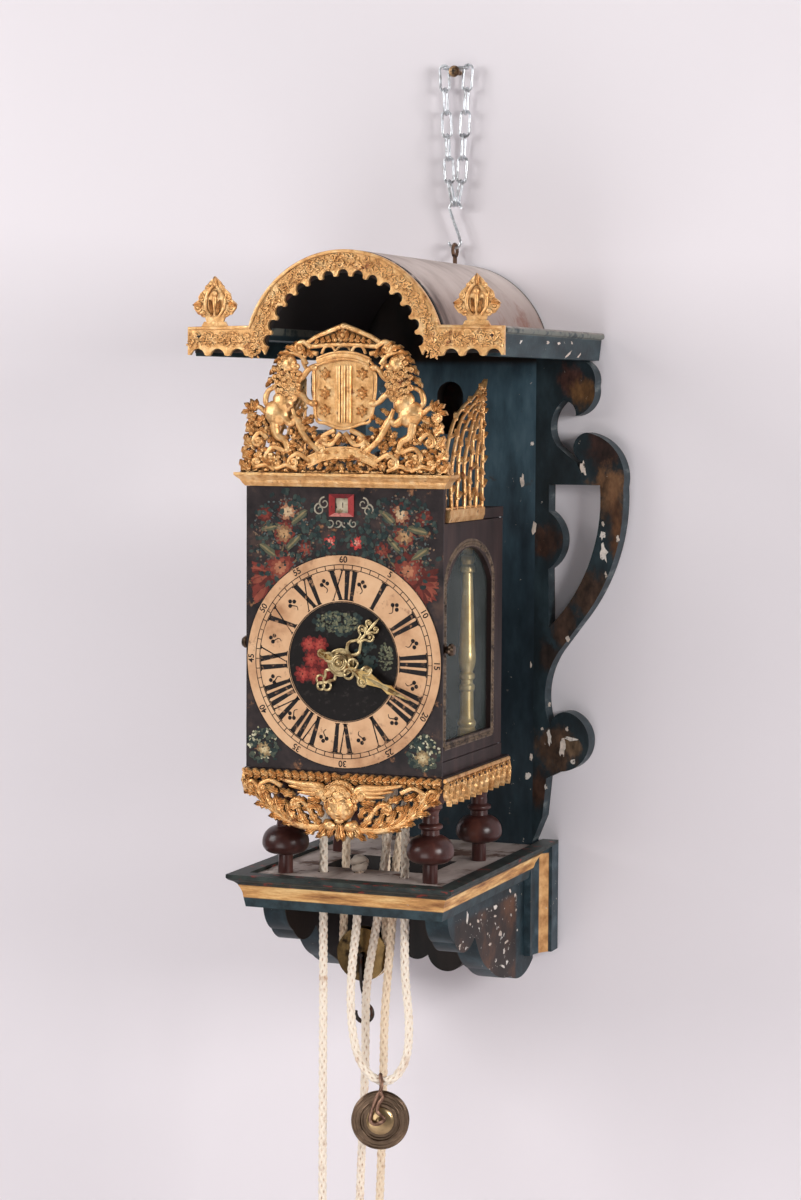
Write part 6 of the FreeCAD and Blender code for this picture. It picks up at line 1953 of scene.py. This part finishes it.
# Each rope's route as (X, Y, Z) in millimetres, from its fixed end to its free end.
GOING_ROUTE = [
    (-9, -247, -799),
    (-9, -249, -846),
    (-14, -255, -902),
    (-14, -257, -946),
    (-8, -257, -984),
    (4, -257, -1004),
    (18.5, -257, -1011),
    (34, -257, -1007),
    (47, -257, -985),
    (49, -257, -946),
    (43, -257, -902),
    (43, -257, -840),
    (43, -257, -640),
    *half_turn((0, DIAL_HEIGHT), 43, -257),
    (-43, -257, -640),
    (-43, -257, -900),
    (-43, -257, ROPE_END),
]
STRIKE_ROUTE = [
    (-3.2, -190, -677),
    (-3.2, -190, -720),
    (-3.2, -190, -860),
    (-3.2, -190, -899),
    (-7, -190, -912),
    (-16, -190, -920.5),
    (-26.5, -190, -922.5),
    (-37, -190, -920),
    (-46, -190, -911),
    (-49.8, -190, -898),
    (-48.5, -190, -860),
    (-41.5, -190, -640),
    *[(-u, y, v) for u, y, v in half_turn((0, DIAL_HEIGHT), 40, -190)],
    (35.3, -190, -636),
    (18, -222, -806),
    (17, -223, -858),
    (11.5, -222, -915),
    (8, -222, -962),
    (7.5, -222, -1040),
    (5.5, -222, -1108),
    (3.5, -222, ROPE_END),
]
ALARM_ROUTE = [
    (11.8, -190, -660),
    (11.8, -191, -686),
    (4, -216, -806),
    (0.5, -221, -858),
    (-10, -222, -912),
    (-12, -222, -953),
    (-11.5, -222, -1000),
    (-15, -222, -1085),
    (-18, -222, ROPE_END),
]


def flowing(route):
    """Points along the NURBS line through a rope's route, in millimetres."""
    curve = bpy.data.curves.new("route", "CURVE")
    curve.dimensions = "3D"
    line = curve.splines.new("NURBS")
    line.points.add(len(route) - 1)
    for control, point in zip(line.points, route):
        control.co = (*point, 1)
    line.order_u = 3
    line.use_endpoint_u = True
    line.resolution_u = 12
    points, _ = meshed(curve)
    return points


def evenly(points, pitch):
    """The same line with its points a fixed pitch apart."""
    line = [points[0]]
    carried = 0.0
    for start, end in zip(points, points[1:]):
        span = (end - start).length
        while carried + span >= pitch:
            share = (pitch - carried) / span
            start = start.lerp(end, share)
            span = (end - start).length
            carried = 0.0
            line.append(start)
        carried += span
    return line


def braid(sculpt, points):
    """An eight-strand round plait: four strands each way round, each over and under the others."""
    strands_each_way = 4
    pitch_along = 1.5
    lay = 48.0
    strand = 1.75
    middle = 2.3
    weave = 0.6
    line = evenly(points, pitch_along)
    frames = line_frames(line)
    for hand in (1, -1):
        for k in range(strands_each_way):
            path = []
            for i, (point, (normal, side)) in enumerate(zip(line, frames)):
                turn = FULL_TURN * i * pitch_along / lay
                reach = middle + hand * weave * math.cos(strands_each_way * turn)
                angle = hand * turn + FULL_TURN * k / strands_each_way
                path.append(point + reach * (math.cos(angle) * normal + math.sin(angle) * side))
            wire(sculpt, path, strand, 5)


def knot(name, finish, centre, size):
    """A stopper knot: turns of the rope round its own end."""
    sculpt = Sculpt()
    turns = 3
    steps = 54
    loop = []
    for k in range(steps + 1):
        angle = FULL_TURN * turns * k / steps
        sway = FULL_TURN * 2 * k / steps
        reach = size * (0.75 + 0.25 * math.cos(sway))
        rise = size * 0.75 * math.sin(sway)
        loop.append((*polar(centre, reach, angle), centre[2] + rise))
    wire(sculpt, loop, ROPE_THICK * 0.42, 8)
    piece = sculpt.piece(name, finish)
    return piece


def make_rope(name, route, finish, top_finish=None):
    """One rope and its knots. It has a top knot where that has a finish."""
    line = flowing(route)
    sculpt = Sculpt()
    braid(sculpt, line)
    rope = sculpt.piece(name + "_plait", finish, crease=80)
    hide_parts(name)
    x, y, _ = route[-1]
    knots = [knot(name + "_end_knot", finish, (x, y, ROPE_END + END_KNOT_RISE), END_KNOT)]
    if top_finish is not None:
        x, y, z = route[0]
        knots.append(knot(name + "_top_knot", top_finish, (x, y, z + TOP_KNOT_RISE), TOP_KNOT))


def make_ropes(finishes):
    """The three ropes. Only the going rope starts at a knot that is seen."""
    make_rope("rope_going", GOING_ROUTE, finishes["rope"], finishes["rope_dusty"])
    make_rope("rope_strike", STRIKE_ROUTE, finishes["rope_stained"])
    make_rope("rope_alarm", ALARM_ROUTE, finishes["rope"])


# Weight pulleys

GOING_PULLEY = (18.5, -257.0, -1049.0)
GOING_PULLEY_TURN = 18.0


def pulley_ground(sculpt, height, side=1):
    """The going pulley's front, or its back where side is -1: u across it, v up, h out of its face."""
    angle = math.radians(GOING_PULLEY_TURN)
    right = (math.cos(angle), math.sin(angle))
    out = (math.sin(angle), -math.cos(angle))

    def place(u, v, h):
        across = side * u
        ahead = side * (h + height)
        return (
            GOING_PULLEY[0] + right[0] * across + out[0] * ahead,
            GOING_PULLEY[1] + right[1] * across + out[1] * ahead,
            GOING_PULLEY[2] + v,
        )

    return Ground(sculpt, place)


def pulley_face(bronze, brass):
    """Turned beads on both faces of the going pulley and a bright domed middle."""
    half_thick = 4.6
    rings = Sculpt()
    dome = Sculpt()
    for side in (1, -1):
        face = pulley_ground(rings, half_thick, side)
        for radius, width in ((27.6, 1.8), (24.6, 1.2), (20.4, 1.6), (17.4, 1.0)):
            ringlet(face, (0, 0), radius, width)
        middle = pulley_ground(dome, half_thick, side)
        boss(middle, (0, 0), (13.4, 13.4, 2.6), 0.0, sides=32, rings=10)
        ringlet(middle, (0, 0), 13.0, 1.6)
        boss(middle, (0, 0), (5.4, 5.4, 3.4), 1.0, sides=20, rings=8)
    rings.piece("going_pulley_beads", bronze, "going_pulley")
    dome.piece("going_pulley_dome", brass, "going_pulley")


def pulley_wire(finish):
    """The bent wire that hangs the going pulley: an eye over the rope, a twist, and a loop to the axle."""
    sculpt = Sculpt()
    ground = pulley_ground(sculpt, 0.0)
    reach = 10.4
    eye = [(0.0, 30.0, reach - 1.5), (1.6, 36.0, 8.6), (0.8, 41.0, 6.0)]
    eye += [(0.0, 45.2, 0.0), (-0.8, 41.0, -6.0)]
    rear = [(0.0, 34.0, -8.6), (0.0, 20.0, -reach), (0.0, 0.0, -reach)]
    loop = [(0.0, 30.0, reach), (-3.2, 25.0, reach + 0.6), (-8.4, 10.0, reach), (-9.4, 2.0, reach - 0.6)]
    foot = [(-5.0, -1.6, reach), (1.0, 0.0, reach + 0.8), (4.6, 3.6, reach + 1.2), (1.6, 7.4, reach + 1.6)]
    twist = [(-2.6, 12.0, reach + 1.4), (-1.0, 19.0, reach + 1.0)]
    twist += [(2.6, 25.0, reach + 0.4), (-0.6, 31.0, reach - 1.0)]
    line = smooth([*reversed(rear), *reversed(eye), *loop, *foot, *twist], 6)
    wire(sculpt, [ground.place(*point) for point in line], 1.9, 10)
    axle = [ground.place(0, 0, h) for h in (reach + 2.0, 0, -reach - 2.0)]
    wire(sculpt, axle, 2.0, 12)
    piece = sculpt.piece("going_pulley_wire", finish)
    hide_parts("going_pulley_strap")


def strike_bow(finish):
    """The striking pulley's bow: two slender arms from the axle to a shank with an open hook."""
    sculpt = Sculpt()
    across, out, axle, ring = -26.5, -190.0, -899.0, -960.0
    reach = 8.4
    bend = 9.2
    for side in (-1, 1):
        arm = [(across, out + reach * side, axle + 2), (across, out + reach * side, axle - 24)]
        arm += [(across, out + 0.6 * reach * side, axle - 36), (across, out, axle - 43)]
        wire(sculpt, smooth(arm), 1.7, 8)
    pin = [(across, y, axle) for y in (out - reach - 2, out, out + reach + 2)]
    wire(sculpt, pin, 2.2, 12)
    hook = [(across, out, axle - 40), (across, out, axle - 47)]
    for degrees in range(90, -200, -20):
        x, z = polar((across, ring), bend, math.radians(degrees))
        hook.append((x, out, z))
    wire(sculpt, smooth(hook), 2.2, 10)
    piece = sculpt.piece("strike_pulley_bow", finish)
    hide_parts("strike_pulley_strap")


# Doors


def window_line():
    """The middle of a door window's moulding, in Y and Z."""
    front = -299.5
    rear = -162.5
    foot = -670.5
    spring = -518.0
    apex = -478.5
    middle = (front + rear) / 2
    half = (rear - front) / 2
    line = [(front, foot), (rear, foot)]
    steps = 20
    for k in range(steps + 1):
        angle = math.pi * k / steps
        line.append((middle + half * math.cos(angle), spring + (apex - spring) * math.sin(angle)))
    return [*line, (front, foot)]


def door_moulding(finish, hand, body):
    """The narrow beaded border round a door's window."""
    sculpt = Sculpt()
    ground = side_ground(sculpt, DOOR_SIDE, hand)
    pitch = 2.0
    border = evenly([Vector(point) for point in window_line()], pitch)
    line = [(point.x, point.y) for point in border]
    sides = across_line(line)
    for offset, width in ((-2.7, 2.0), (2.7, 2.0), (0.0, 3.4)):
        stem(ground, [off_line(point, side, offset) for point, side in zip(line, sides)], width, 0.1, 0.5)
    for y, z in line[::2]:
        boss(ground, (y, z), (1.5, 1.5, 1.2), 0.7, sides=7, rings=5)
    name = "door_moulding_right" if hand > 0 else "door_moulding_left"
    sculpt.piece(name, finish, body)


# Build

make_camera()
make_light()
make_stage()
finishes = make_finishes()
dress_nodes(finishes)
soften_edges()
make_ropes(finishes)
front_fret(finishes["gilt"])
side_frets(finishes["gilt"])
front_apron(finishes["gilt"])
side_aprons(finishes["gilt"])
nail_holes(finishes["black_paint"])
flakes(finishes["daub"])
slot_ground(finishes["black_paint"])
screw_cross(finishes["black_paint"])
trim_relief(finishes["gilt"])
finials(finishes["gilt"])
chapter_ring(finishes["chapter_ring"])
dial_painting(finishes["daub"])
dial_marks(finishes["marks"])
date_numbers(finishes["marks"])
hour_hand(finishes["hand_brass"])
minute_hand(finishes["hand_brass"])
door_moulding(finishes["dull_gilt"], 1, "door_right")
door_moulding(finishes["dull_gilt"], -1, "door_left")
pulley_face(finishes["bronze"], finishes["dome_brass"])
strike_bow(finishes["iron"])
pulley_wire(finishes["copper"])
